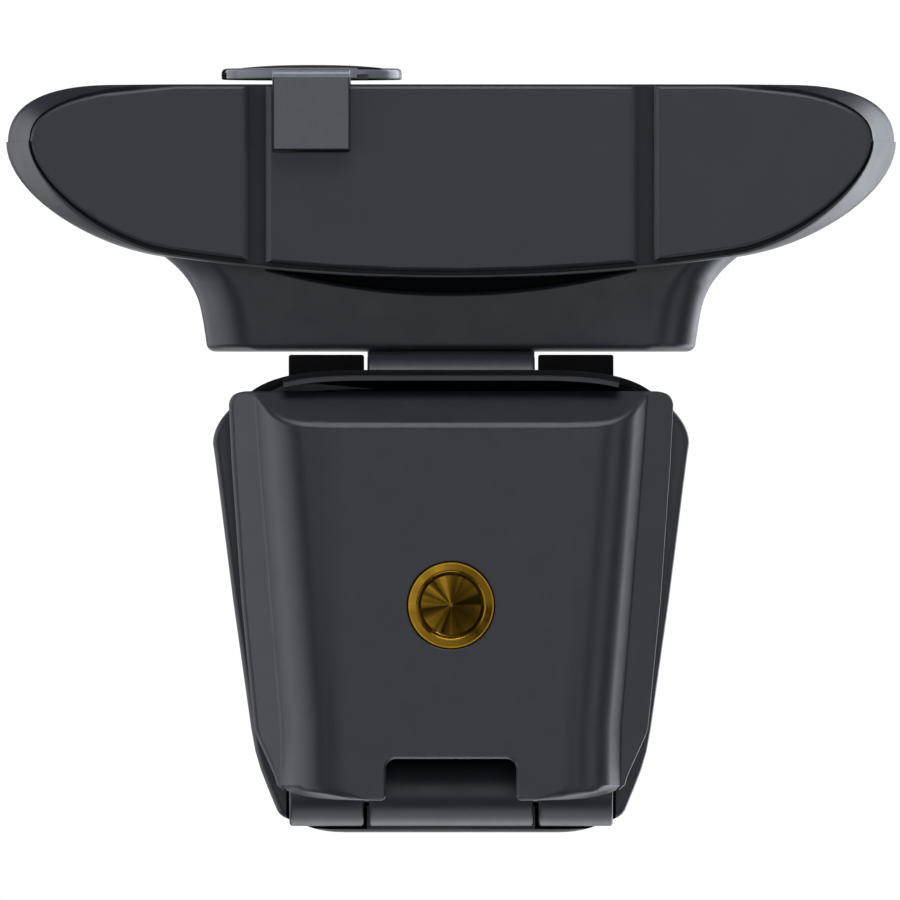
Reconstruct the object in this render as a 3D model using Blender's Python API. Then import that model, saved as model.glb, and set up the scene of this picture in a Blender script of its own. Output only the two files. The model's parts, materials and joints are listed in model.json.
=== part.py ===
"""Clip-on webcam: wide camera head, sliding lens shutter, friction neck and a folding monitor clip.

All sizes below are millimetres and are turned to metres when a mesh is made. +Z is up, the lens looks
along -Y, +X is on the right when it is looked at from below with the lens upwards, and the origin lies in the plane of the
foot's outer face, under the middle of the object's box.
"""
import math

import bmesh
import bpy
from mathutils import Matrix, Vector

MM = 0.001
GAP = 0.3                      # clearance between neighbouring pieces

# --- camera head -------------------------------------------------------------------------------------
HEAD_HALF_WIDTH = 42.1
HEAD_FRONT = -34.3
HEAD_BOTTOM = 20.0
HEAD_TOP = 46.0
TIP_Y = -28.9                  # depth of the widest point, where the two shells meet
WING_FRONT_X = 32.4            # the front face is straight up to here
WING_ROOT = (28.0, -18.25)     # where the wing flows into the housing
BAR_REAR_Y = -16.0             # rear edge of the bar on the centre line
SHELL_WALL = 2.0
HOUSING_HALF_WIDTH = 23.15
HOUSING_REAR = -9.1
HOUSING_BOTTOM = 24.0
HOUSING_TOP = 42.0
HOUSING_RADIUS = 4.5
PANEL_DEPTH = 1.0              # thickness of the underside panels
GROOVE_IN = 17.0               # the two grooves between the underside panels
GROOVE_OUT = 19.5
LENS_Z = 33.0

# --- lens shutter ------------------------------------------------------------------------------------
SHUTTER_X = -13.2
SHUTTER_RADIUS = 8.55
SHUTTER_PEAK = -36.25
SHUTTER_REAR = -34.7
STRAP_HALF_WIDTH = 3.68
STRAP_FRONT = -35.7
STRAP_END = -27.85
STRAP_THICKNESS = 0.9

# --- neck hinge --------------------------------------------------------------------------------------
NECK_Y = -5.4
NECK_Z = 18.5
NECK_RADIUS = 3.3
TONGUE_HALF_WIDTH = 7.9
LUG_OUT = 15.3
NECK_PIN_RADIUS = 1.5

# --- clip base ---------------------------------------------------------------------------------------
BASE_BOTTOM = 9.0
BASE_TOP = 14.6
BASE_FRONT = -7.3
BASE_REAR = 36.2
BASE_WALL = 1.8
LIP_BOTTOM = 3.2
LIP_THICKNESS = 1.0
LIP_END_Y = -6.5               # the lip stops where the front curves back past this

# --- folding leg -------------------------------------------------------------------------------------
LEG_TOP = 6.8
LEG_FLAT = 10.6                # half width of the flat outer face
LEG_CREASE_Z = 4.8
LEG_FRONT = -2.1               # front edge of the flat outer face
LEG_SLANT = 3.0                # the free end leans forward by this up to the crease
LEG_REAR = 33.15
LEG_FLOOR = 1.8
NOTCH_HALF_WIDTH = 6.1
NOTCH_FRONT = 29.2
CLIP_Y = 32.3
CLIP_Z = 8.8
CLIP_RADIUS = 3.3
CLIP_PIN_RADIUS = 1.1
KNUCKLE_IN = 8.2
KNUCKLE_OUT = 15.2
SOCKET_Y = 14.8
INSERT_RADIUS = 4.08
INSERT_LENGTH = 4.9
SOCKET_RADIUS = 3.05           # between the 1/4-20 thread's crest and root
SOCKET_MOUTH = 3.45
SOCKET_DEPTH = 4.4


# --- scene helpers -----------------------------------------------------------------------------------
def clear_scene():
    for thing in list(bpy.data.objects):
        bpy.data.objects.remove(thing, do_unlink=True)


def make_material(name, colour, roughness, metallic=0.0):
    material = bpy.data.materials.new(name)
    material.use_nodes = True
    shader = material.node_tree.nodes["Principled BSDF"]
    shader.inputs["Base Color"].default_value = (*colour, 1.0)
    shader.inputs["Roughness"].default_value = roughness
    shader.inputs["Metallic"].default_value = metallic
    material.diffuse_color = (*colour, 1.0)
    return material


def make_empty(name, at, parent=None):
    """An empty on a joint's axis; its children move with it."""
    empty = bpy.data.objects.new(name, None)
    bpy.context.scene.collection.objects.link(empty)
    empty.parent = parent
    home = Vector(parent["world"]) if parent else Vector()
    empty.location = Vector(at) * MM - home
    empty["world"] = Vector(at) * MM
    return empty


def to_object(name, mesh, colour, parent):
    """Link a mesh made in world millimetres: turned to metres, with its origin at the parent empty."""
    origin = Vector(parent["world"])
    mesh.transform(Matrix.Translation(-origin) @ Matrix.Scale(MM, 4))
    mesh.shade_smooth()
    mesh.set_sharp_from_angle(angle=math.radians(32.0))
    thing = bpy.data.objects.new(name, mesh)
    thing.parent = parent
    material = make_material(name, *colour)
    thing.data.materials.append(material)
    bpy.context.scene.collection.objects.link(thing)
    return thing


def finish_mesh(name, body):
    bmesh.ops.recalc_face_normals(body, faces=body.faces)
    mesh = bpy.data.meshes.new(name)
    body.to_mesh(mesh)
    body.free()
    return mesh


# --- solids, all in world millimetres ----------------------------------------------------------------
def loft(rings):
    """Closed solid through rings of equally many points, capped at both ends."""
    body = bmesh.new()
    rows = [[body.verts.new(point) for point in ring] for ring in rings]
    count = len(rows[0])
    for low, high in zip(rows, rows[1:]):
        for i in range(count):
            j = (i + 1) % count
            body.faces.new((low[i], low[j], high[j], high[i]))
    caps = [body.faces.new(rows[0]), body.faces.new(rows[-1])]
    body.normal_update()
    bmesh.ops.triangulate(body, faces=caps, ngon_method="EAR_CLIP")
    return finish_mesh("loft", body)


def prism(outline, low, high, along="Z"):
    """An outline in two axes, extruded along the third: Z takes (x, y), Y takes (x, z), X takes (y, z)."""
    def point(pair, level):
        u, v = pair
        return {"Z": (u, v, level), "Y": (u, level, v), "X": (level, u, v)}[along]
    return loft([[point(pair, low) for pair in outline], [point(pair, high) for pair in outline]])


def block(low, high):
    outline = [(low[0], low[1]), (high[0], low[1]), (high[0], high[1]), (low[0], high[1])]
    return prism(outline, low[2], high[2])


def lathe(profile, centre, along, sides=24, closed=False):
    """Turn (radius, level) points about an axis through centre; levels are world places on that axis."""
    axes = {"X": (1, 2, 0), "Y": (2, 0, 1), "Z": (0, 1, 2)}[along]
    body = bmesh.new()

    def spot(radius, level, turn):
        place = [0.0, 0.0, 0.0]
        place[axes[0]] = centre[axes[0]] + radius * math.cos(turn)
        place[axes[1]] = centre[axes[1]] + radius * math.sin(turn)
        place[axes[2]] = level
        return body.verts.new(place)

    rows = []
    for radius, level in profile:
        if radius == 0.0:
            rows.append([spot(0.0, level, 0.0)] * sides)
        else:
            rows.append([spot(radius, level, 2.0 * math.pi * (i + 0.5) / sides) for i in range(sides)])
    pairs = list(zip(rows, rows[1:]))
    if closed:
        pairs.append((rows[-1], rows[0]))
    for low, high in pairs:
        for i in range(sides):
            j = (i + 1) % sides
            corners = []
            for vert in (low[i], low[j], high[j], high[i]):
                if vert not in corners:
                    corners.append(vert)
            body.faces.new(corners)
    return finish_mesh("lathe", body)


def rod(radius, low, high, centre, along, sides=24):
    return lathe([(0.0, low), (radius, low), (radius, high), (0.0, high)], centre, along, sides)


def combine(mesh, tool, operation="DIFFERENCE"):
    """Boolean of two meshes with Blender's exact solver; both inputs are used up."""
    scene = bpy.context.scene
    target = bpy.data.objects.new("target", mesh)
    cutter = bpy.data.objects.new("cutter", tool)
    scene.collection.objects.link(target)
    scene.collection.objects.link(cutter)
    step = target.modifiers.new("step", "BOOLEAN")
    step.operation = operation
    step.solver = "EXACT"
    step.object = cutter
    graph = bpy.context.evaluated_depsgraph_get()
    result = bpy.data.meshes.new_from_object(target.evaluated_get(graph))
    bpy.data.objects.remove(target, do_unlink=True)
    bpy.data.objects.remove(cutter, do_unlink=True)
    return result


def cut(mesh, *tools):
    for tool in tools:
        mesh = combine(mesh, tool)
    return mesh


def join(mesh, *others):
    for other in others:
        mesh = combine(mesh, other, "UNION")
    return mesh


# --- outlines ----------------------------------------------------------------------------------------
def bezier(start, handle_a, handle_b, end, steps):
    """Points of a cubic curve after its start, up to and with its end."""
    points = []
    for i in range(1, steps + 1):
        t = i / steps
        s = 1.0 - t
        weights = (s ** 3, 3 * s * s * t, 3 * s * t * t, t ** 3)
        knots = (start, handle_a, handle_b, end)
        points.append(tuple(sum(w * k[axis] for w, k in zip(weights, knots)) for axis in (0, 1)))
    return points


def mirror_outline(half):
    """Half outline from the front centre to the rear centre, x >= 0, made whole."""
    left = [(-x, y) for x, y in reversed(half) if x > 1e-6]
    return list(half) + left


def rounded_box(half_u, low_v, high_v, radius, steps=4, centre_u=0.0):
    corners = [(half_u - radius, high_v - radius, 0), (radius - half_u, high_v - radius, 90),
               (radius - half_u, low_v + radius, 180), (half_u - radius, low_v + radius, 270)]
    points = []
    for u, v, start in corners:
        for i in range(steps + 1):
            turn = math.radians(start + 90.0 * i / steps)
            points.append((centre_u + u + radius * math.cos(turn), v + radius * math.sin(turn)))
    return points


def offset(outline, distance):
    """Move each point inwards by distance(x, y) along the outline's own normal."""
    count = len(outline)
    moved = []
    for i, (x, y) in enumerate(outline):
        before = Vector(outline[i - 1])
        after = Vector(outline[(i + 1) % count])
        here = Vector((x, y))
        first = (here - before).normalized()
        second = (after - here).normalized()
        normal = Vector((-(first + second).y, (first + second).x)).normalized()
        stretch = 1.0 / max(0.5, normal.dot(Vector((-first.y, first.x))))
        moved.append(tuple(here + normal * distance(x, y) * stretch))
    return moved


def clip_outline(outline, low_x, high_x):
    """The part of a convex outline between two lines across x."""
    for limit, keep in ((low_x, 1.0), (high_x, -1.0)):
        result = []
        for i, point in enumerate(outline):
            last = outline[i - 1]
            if (point[0] - limit) * keep >= 0.0:
                if (last[0] - limit) * keep < 0.0:
                    result.append(cross_x(last, point, limit))
                result.append(point)
            elif (last[0] - limit) * keep >= 0.0:
                result.append(cross_x(last, point, limit))
        outline = result
    return outline


def cross_x(a, b, limit):
    share = (limit - a[0]) / (b[0] - a[0])
    return (limit, a[1] + share * (b[1] - a[1]))


def tip_weight(x):
    """0 along the middle of the bar, 1 at its tips."""
    return max(0.0, min(1.0, (abs(x) - 27.0) / 15.0)) ** 1.2


def bar_outline():
    """The head's plan: straight front, pointed tips, wings swept back to a shallow rear arc."""
    tip = (HEAD_HALF_WIDTH, TIP_Y)
    half = [(0.0, HEAD_FRONT), (GROOVE_IN, HEAD_FRONT), (WING_FRONT_X, HEAD_FRONT)]
    half += bezier(half[-1], (39.2, HEAD_FRONT), (HEAD_HALF_WIDTH, -32.2), tip, 7)
    half += bezier(tip, (HEAD_HALF_WIDTH, -24.4), (35.2, -19.5), WING_ROOT, 8)
    sag = BAR_REAR_Y - WING_ROOT[1]
    for share in (0.75, 0.5, 0.25, 0.0):
        half.append((WING_ROOT[0] * share, BAR_REAR_Y - sag * share * share))
    return mirror_outline(half)


def bar_body():
    """The bar as one solid: small edge along the front, a large round at the tips."""
    outline = bar_outline()
    rings = []
    steps = 3
    turns = [90.0 * i / steps for i in range(steps + 1)]
    for side, base in ((1.0, HEAD_BOTTOM), (-1.0, HEAD_TOP)):
        ordered = turns if side > 0 else turns[::-1]
        for turn in ordered:
            lean = 1.0 - math.sin(math.radians(turn))
            rise = 1.0 - math.cos(math.radians(turn))
            plan = offset(outline, lambda x, y: (0.15 + 1.6 * tip_weight(x)) * lean)
            ring = []
            for (x, y), (px, _) in zip(plan, outline):
                ring.append((x, y, base + side * (0.4 + 6.0 * tip_weight(px)) * rise))
            rings.append(ring)
    return loft(rings)


def panel_outline():
    """The underside panels' common outline."""
    def inset(x, y):
        weight = tip_weight(x)
        return 0.3 + 2.2 * weight if y < TIP_Y else 0.6 + 1.9 * weight
    return offset(bar_outline(), inset)


def recess_outline():
    """The recess the panels lie in: open along the front, rimmed everywhere else."""
    def inset(x, y):
        weight = tip_weight(x)
        return 2.5 * weight - 0.3 if y < TIP_Y else 0.3 + 1.9 * weight
    return offset(bar_outline(), inset)


def housing_body():
    """The block behind the bar, flaring into the wings at its front."""
    wing = bezier((30.0, -20.0), (27.7, -18.4), (24.3, -16.8), (23.6, -12.7), 6)
    stations = [(30.0, -20.0)] + wing + [(HOUSING_HALF_WIDTH, -9.9), (HOUSING_HALF_WIDTH - 0.3, -9.35)]
    stations.append((HOUSING_HALF_WIDTH - 0.9, HOUSING_REAR))
    rings = []
    for half, y in stations:
        shrink = max(0.0, HOUSING_HALF_WIDTH - half)
        section = rounded_box(half, HOUSING_BOTTOM + shrink, HOUSING_TOP - shrink, HOUSING_RADIUS)
        rings.append([(x, y, z) for x, z in section])
    return loft(rings)


def head_cavity():
    plan = offset(bar_outline(), lambda x, y: SHELL_WALL + 1.4 * tip_weight(x))
    return prism(plan, HEAD_BOTTOM + 2.9, HEAD_TOP - 1.8)


def panel_recess():
    return prism(recess_outline(), HEAD_BOTTOM - 1.0, HEAD_BOTTOM + PANEL_DEPTH + GAP)


# --- materials: colour, roughness, metallic ------------------------------------------------------------
BLACK_SATIN = ((0.035, 0.036, 0.040), 0.42)
BLACK_GLOSS = ((0.012, 0.012, 0.014), 0.12)
DARK_GREY = ((0.045, 0.046, 0.052), 0.5)
SOFT_BLACK = ((0.02, 0.02, 0.022), 0.85)
LIGHT_GREY = ((0.13, 0.13, 0.14), 0.45)
BRASS = ((0.65, 0.46, 0.16), 0.25, 1.0)
STEEL = ((0.5, 0.5, 0.52), 0.3, 1.0)
GLASS = ((0.03, 0.035, 0.05), 0.04)
BOARD_GREEN = ((0.02, 0.10, 0.05), 0.5)
CHIP_BLACK = ((0.015, 0.015, 0.016), 0.5)
CLEAR = ((0.7, 0.72, 0.75), 0.1)


# --- camera head ---------------------------------------------------------------------------------------
BOARD_HOLES = [(x, z) for z in (29.2, 37.2) for x in (-16.0, 16.0)]
BRACKET_SCREW_X = 4.5
BRACKET_SCREW_Z = 29.5
GLAND_Z = 36.9
LED_X = 11.5
MIC_X = 27.0
SPLIT_GAP = 0.15


def make_rear_shell(parent):
    front_half = block((-60, -60, 0), (60, TIP_Y + SPLIT_GAP, 60))
    shell = cut(bar_body(), front_half)
    shell = join(shell, housing_body())
    inner = rounded_box(20.9, HOUSING_BOTTOM + 1.8, HOUSING_TOP - 1.8, 2.8, steps=3)
    shell = cut(shell, head_cavity(), prism(inner, -21.0, HOUSING_REAR - 1.8, "Y"), panel_recess())
    for x, z in BOARD_HOLES:
        boss = rod(2.0, -19.4, HOUSING_REAR - 1.2, (x, 0, z), "Y", 16)
        shell = join(shell, boss)
        shell = cut(shell, rod(1.0, -20.0, -15.0, (x, 0, z), "Y", 12))
    opening = block((-TONGUE_HALF_WIDTH - GAP, -12, 26.2), (TONGUE_HALF_WIDTH + GAP, -8, 32.8))
    shell = cut(shell, opening, rod(2.5, -12, -8, (0, 0, GLAND_Z), "Y", 20))
    return to_object("rear_shell", shell, BLACK_SATIN, parent)


def make_front_bezel(parent):
    rear_half = block((-60, TIP_Y - SPLIT_GAP, 0), (60, 60, 60))
    shell = cut(bar_body(), rear_half, head_cavity(), panel_recess())
    seat = prism(rounded_box(33.3, LENS_Z - 9.8, LENS_Z + 9.8, 9.0), -36.0, -32.9, "Y")
    window = prism(rounded_box(31.0, LENS_Z - 7.5, LENS_Z + 7.5, 7.0), -34.0, -31.0, "Y")
    return to_object("front_bezel", cut(shell, seat, window), BLACK_SATIN, parent)


def make_front_panel(parent):
    outline = rounded_box(33.0, LENS_Z - 9.5, LENS_Z + 9.5, 8.7)
    inner = offset(outline, lambda x, y: 0.25)
    rings = [[(x, -34.2, z) for x, z in inner], [(x, -33.95, z) for x, z in outline],
             [(x, -33.2, z) for x, z in outline]]
    panel = cut(loft(rings), rod(6.3, -36, -30, (0, 0, LENS_Z), "Y", 32))
    panel = cut(panel, rod(0.9, -36, -30, (LED_X, 0, LENS_Z), "Y", 12))
    for x in (-MIC_X, MIC_X):
        panel = cut(panel, rod(0.7, -36, -30, (x, 0, LENS_Z), "Y", 12))
    return to_object("front_panel", panel, BLACK_GLOSS, parent)


def make_underside_panels(parent):
    """Three flat panels in one recess; the gaps between them are the two grooves."""
    spans = {"left": (-60.0, -GROOVE_OUT), "center": (-GROOVE_IN, GROOVE_IN), "right": (GROOVE_OUT, 60.0)}
    for side, (low, high) in spans.items():
        face = clip_outline(panel_outline(), low, high)
        edge = offset(face, lambda x, y: 0.25)
        levels = [(edge, HEAD_BOTTOM), (face, HEAD_BOTTOM + 0.25), (face, HEAD_BOTTOM + PANEL_DEPTH)]
        rings = [[(x, y, z) for x, y in plan] for plan, z in levels]
        to_object("underside_panel_" + side, loft(rings), BLACK_SATIN, parent)


def make_lens(parent):
    axis = (0, 0, LENS_Z)
    trim = [(4.3, -30.6), (6.0, -30.6), (6.0, -34.1), (5.8, -34.3), (5.4, -34.3), (5.2, -34.0),
            (5.2, -33.0), (4.3, -33.0)]
    to_object("lens_trim_ring", lathe(trim, axis, "Y", 32, closed=True), BLACK_SATIN, parent)
    cover = [(0, -33.3), (4.9, -33.3), (4.9, -34.0), (4.8, -34.1), (0, -34.1)]
    to_object("lens_cover_glass", lathe(cover, axis, "Y", 32), GLASS, parent)
    barrel = [(2.2, -24.0), (3.6, -24.0), (3.6, -32.4), (3.4, -32.6), (3.1, -32.6), (3.1, -30.5), (2.2, -30.5)]
    to_object("lens_barrel", lathe(barrel, axis, "Y", 24, closed=True), BLACK_SATIN, parent)
    front = [(0, -30.9), (2.75, -30.9), (2.75, -31.7), (1.6, -32.15), (0, -32.3)]
    to_object("lens_front_element", lathe(front, axis, "Y", 24), GLASS, parent)
    rear = [(0, -24.9), (1.0, -25.0), (1.85, -25.4), (1.85, -26.4), (0, -26.4)]
    to_object("lens_rear_element", lathe(rear, axis, "Y", 20), GLASS, parent)
    holder = cut(prism(rounded_box(5.0, LENS_Z - 5.0, LENS_Z + 5.0, 1.0, steps=2), -26.8, -21.2, "Y"),
                 rod(3.9, -28, -20, axis, "Y", 24))
    to_object("lens_holder", holder, CHIP_BLACK, parent)
    to_object("ir_filter", block((-2.3, -23.5, LENS_Z - 2.3), (2.3, -23.0, LENS_Z + 2.3)), GLASS, parent)
    to_object("image_sensor", block((-2.4, -22.1, LENS_Z - 2.0), (2.4, -21.2, LENS_Z + 2.0)), CHIP_BLACK, parent)


def make_electronics(parent):
    board = prism(rounded_box(18.6, 26.9, 39.6, 1.5, steps=2), -20.9, -19.7, "Y")
    for x, z in BOARD_HOLES:
        board = cut(board, rod(1.0, -22, -19, (x, 0, z), "Y", 12))
    to_object("main_board", board, BOARD_GREEN, parent)
    corner_names = ("lower_left", "lower_right", "upper_left", "upper_right")
    for name, (x, z) in zip(corner_names, BOARD_HOLES):
        screw = [(0, -16.5), (0.7, -16.7), (0.7, -21.2), (1.6, -21.2), (1.6, -21.8), (1.1, -22.2), (0, -22.2)]
        to_object("board_screw_" + name, lathe(screw, (x, 0, z), "Y", 12), STEEL, parent)
    to_object("video_processor", block((-4.0, -19.4, 30.0), (4.0, -18.2, 38.0)), CHIP_BLACK, parent)
    to_object("cable_header", block((6.5, -19.4, 33.0), (12.5, -16.0, 36.0)), CLEAR, parent)
    to_object("status_led", block((LED_X - 0.8, -22.1, LENS_Z - 0.8), (LED_X + 0.8, -21.2, LENS_Z + 0.8)),
              CLEAR, parent)
    pipe = [(0, -22.6), (0.6, -22.6), (0.6, -31.9), (1.3, -31.9), (1.3, -32.8), (0.6, -32.8), (0.6, -34.15),
            (0, -34.15)]
    to_object("light_pipe", lathe(pipe, (LED_X, 0, LENS_Z), "Y", 12), CLEAR, parent)
    for side, x in (("left", -MIC_X), ("right", MIC_X)):
        cell = block((x - 2.4, -31.9, LENS_Z - 2.0), (x + 2.4, -30.7, LENS_Z + 2.0))
        to_object("microphone_" + side, cell, STEEL, parent)
        ring = [(0.8, -32.2), (1.8, -32.2), (1.8, -32.9), (0.8, -32.9)]
        gasket = lathe(ring, (x, 0, LENS_Z), "Y", 16, closed=True)
        to_object("microphone_gasket_" + side, gasket, SOFT_BLACK, parent)
    gland = [(1.4, -12.6), (2.9, -12.6), (2.9, -11.2), (2.2, -11.2), (2.2, -8.8), (3.0, -8.8), (2.5, -5.9),
             (2.2, -5.6), (1.4, -5.6)]
    to_object("cable_gland", lathe(gland, (0, 0, GLAND_Z), "Y", 20, closed=True), SOFT_BLACK, parent)


def barrel_points(centre, radius, start, end, steps):
    """Arc of a hinge barrel in (y, z)."""
    points = []
    for i in range(steps + 1):
        turn = math.radians(start + (end - start) * i / steps)
        points.append((centre[0] + radius * math.cos(turn), centre[1] + radius * math.sin(turn)))
    return points


def make_tilt_bracket(parent):
    """Tongue of the neck hinge: a barrel, an arm up the housing's rear wall and a plug through it."""
    arm_rear = -4.2
    lift = math.degrees(math.acos((arm_rear - NECK_Y) / NECK_RADIUS))
    profile = barrel_points((NECK_Y, NECK_Z), NECK_RADIUS, 180.0, 360.0 + lift, 14)
    profile += [(arm_rear, 31.3), (arm_rear - 1.2, 32.5), (-10.8, 32.5), (-10.8, 26.5), (-8.7, 26.5)]
    body = prism(profile, -TONGUE_HALF_WIDTH, TONGUE_HALF_WIDTH, "X")
    body = cut(body, rod(NECK_PIN_RADIUS + GAP, -20, 20, (0, NECK_Y, NECK_Z), "X", 24))
    plate = block((-11.0, -12.6, 26.1), (11.0, -11.2, 33.4))
    for x in (-BRACKET_SCREW_X, BRACKET_SCREW_X):
        body = cut(body, rod(1.2, -12, -6.2, (x, 0, BRACKET_SCREW_Z), "Y", 12))
        plate = cut(plate, rod(1.2, -14, -10, (x, 0, BRACKET_SCREW_Z), "Y", 12))
    to_object("tilt_bracket", body, BLACK_SATIN, parent)
    to_object("bracket_plate", plate, STEEL, parent)
    for side, x in (("left", -BRACKET_SCREW_X), ("right", BRACKET_SCREW_X)):
        screw = [(0, -6.6), (0.9, -6.8), (0.9, -12.9), (1.7, -12.9), (1.7, -13.5), (1.2, -13.9), (0, -13.9)]
        to_object("bracket_screw_" + side, lathe(screw, (x, 0, BRACKET_SCREW_Z), "Y", 12), STEEL, parent)


# --- lens shutter ----------------------------------------------------------------------------------------
def make_shutter(parent):
    """A C-shaped strap hooked over the head, with a round carrier that slides in front of the lens."""
    under = HEAD_BOTTOM - GAP
    over = HEAD_TOP + GAP
    outer = [(STRAP_FRONT, under - STRAP_THICKNESS), (STRAP_END, under - STRAP_THICKNESS),
             (STRAP_END, under), (SHUTTER_REAR, under), (SHUTTER_REAR, over), (STRAP_END, over),
             (STRAP_END, over + STRAP_THICKNESS), (STRAP_FRONT, over + STRAP_THICKNESS)]
    strap = prism(outer, SHUTTER_X - STRAP_HALF_WIDTH, SHUTTER_X + STRAP_HALF_WIDTH, "X")
    axis = (SHUTTER_X, 0, LENS_Z)
    disc = [(0, SHUTTER_REAR - 0.05), (8.3, SHUTTER_REAR - 0.05), (SHUTTER_RADIUS, -34.95), (SHUTTER_RADIUS, -35.5),
            (8.2, -35.85), (0, -35.85)]
    strap = join(strap, lathe(disc, axis, "Y", 40))
    strap = cut(strap, rod(7.5, -37.0, -35.35, axis, "Y", 40))
    to_object("shutter_clip", strap, LIGHT_GREY, parent)
    dome = [(0, -35.65), (7.2, -35.65), (7.2, -35.9), (6.9, -36.0), (4.0, -36.2), (0, SHUTTER_PEAK)]
    to_object("shutter_cap", lathe(dome, axis, "Y", 40), BLACK_GLOSS, parent)


# --- clip base ---------------------------------------------------------------------------------------------
def base_outline():
    half = [(0.0, BASE_FRONT), (8.0, BASE_FRONT)]
    half += bezier(half[-1], (14.5, BASE_FRONT), (17.0, -6.6), (18.8, -5.3), 4)
    half += bezier(half[-1], (20.6, -4.0), (22.4, -2.4), (22.4, 0.0), 4)
    half += [(20.5, 14.4), (18.8, 26.45)]
    half += bezier(half[-1], (18.2, 30.2), (16.8, 33.9), (15.4, 34.8), 4)
    half += bezier(half[-1], (14.0, 35.9), (12.0, BASE_REAR), (10.0, BASE_REAR), 3)
    half.append((0.0, BASE_REAR))
    return mirror_outline(half)


def lip_outline():
    """Thin wall along the front of the base, hooked over a monitor's front edge."""
    outline = base_outline()
    outer = [point for point in outline if point[1] < LIP_END_Y]
    right = [point for point in outer if point[0] >= 0.0]
    left = [point for point in outer if point[0] < 0.0]
    front = left + right
    inner = offset(outline, lambda x, y: LIP_THICKNESS)
    back = [inner[outline.index(point)] for point in front]
    return front + back[::-1]


BASE_SCREWS = ((-13.0, 3.0), (13.0, 3.0), (-12.0, 22.0), (12.0, 22.0))
SCREW_CORNERS = ("front_left", "front_right", "rear_left", "rear_right")


def make_base(parent):
    outline = base_outline()
    levels = [(BASE_BOTTOM, 0.6), (BASE_BOTTOM + 0.5, 0.1), (BASE_TOP - 1.4, 0.0), (BASE_TOP - 0.4, 0.4),
              (BASE_TOP, 1.2)]
    rings = []
    for z, inset in levels:
        plan = offset(outline, lambda x, y, inset=inset: inset)
        rings.append([(x, y, z) for x, y in plan])
    shell = join(loft(rings), prism(lip_outline(), LIP_BOTTOM, BASE_BOTTOM + 1.0))
    hollow = [point for point in offset(outline, lambda x, y: BASE_WALL) if point[1] < 27.0]
    shell = cut(shell, prism(hollow, BASE_BOTTOM - 1.0, BASE_TOP - BASE_WALL))
    for side in (-1.0, 1.0):
        lug = barrel_points((NECK_Y, NECK_Z), NECK_RADIUS + 0.05, 0.0, 180.0, 8)
        lug += [(NECK_Y - NECK_RADIUS - 0.05, BASE_TOP - 1.0), (NECK_Y + NECK_RADIUS + 0.05, BASE_TOP - 1.0)]
        low, high = sorted((side * (TONGUE_HALF_WIDTH + GAP), side * LUG_OUT))
        shell = join(shell, prism(lug, low, high, "X"))
        low, high = sorted((side * (KNUCKLE_IN - GAP), side * (KNUCKLE_OUT + GAP)))
        shell = cut(shell, rod(CLIP_RADIUS + GAP, low, high, (0, CLIP_Y, CLIP_Z), "X", 32))
    knuckle = rod(CLIP_RADIUS, -KNUCKLE_IN + 0.5, KNUCKLE_IN - 0.5, (0, CLIP_Y, CLIP_Z), "X", 28)
    shell = join(shell, knuckle)
    shell = cut(shell, rod(NECK_PIN_RADIUS + GAP, -20, 20, (0, NECK_Y, NECK_Z), "X", 24))
    shell = cut(shell, rod(CLIP_PIN_RADIUS + GAP, -15.5, 15.5, (0, CLIP_Y, CLIP_Z), "X", 20))
    for x, y in BASE_SCREWS:
        shell = join(shell, rod(2.0, 11.3, 13.2, (x, y, 0), "Z", 16))
        shell = cut(shell, rod(1.1, 11.0, 13.9, (x, y, 0), "Z", 12))
    to_object("base_shell", shell, BLACK_SATIN, parent)

    plate_plan = [point for point in offset(outline, lambda x, y: BASE_WALL + GAP) if point[1] < 26.5]
    plate = prism(plate_plan, 9.2, 11.0)
    for x, y in BASE_SCREWS:
        plate = cut(plate, rod(1.1, 8, 12, (x, y, 0), "Z", 12), rod(2.1, 8, 10.2, (x, y, 0), "Z", 16))
    to_object("base_plate", plate, DARK_GREY, parent)
    for name, (x, y) in zip(SCREW_CORNERS, BASE_SCREWS):
        screw = [(0, 9.2), (1.3, 9.2), (1.7, 9.5), (1.7, 9.9), (0.75, 9.9), (0.75, 13.3), (0, 13.6)]
        to_object("base_screw_" + name, lathe(screw, (x, y, 0), "Z", 12), STEEL, parent)

    pad_plan = [point for point in offset(outline, lambda x, y: 3.4) if point[1] < 26.5]
    to_object("base_pad", prism(pad_plan, 8.2, 8.9), SOFT_BLACK, parent)

    x_axis = (0, NECK_Y, NECK_Z)
    pin = [(0, -15.0), (1.3, -15.0), (NECK_PIN_RADIUS, -14.8), (NECK_PIN_RADIUS, 14.8), (1.3, 15.0), (0, 15.0)]
    to_object("neck_pin", lathe(pin, x_axis, "X", 20), STEEL, parent)


# --- folding leg ---------------------------------------------------------------------------------------------
LEG_EDGE = ((-4.0, 21.0), (14.4, 19.7), (26.5, 18.5), (31.7, 16.3))
LEG_CREASE = ((-4.0, 18.6), (14.4, 17.1), (26.5, 16.1), (31.7, 16.05))


def along_leg(table, y):
    """Linear reading of a (y, half width) table."""
    for (low, a), (high, b) in zip(table, table[1:]):
        if y <= high:
            return a + (b - a) * (max(y, low) - low) / (high - low)
    return table[-1][1]


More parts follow.
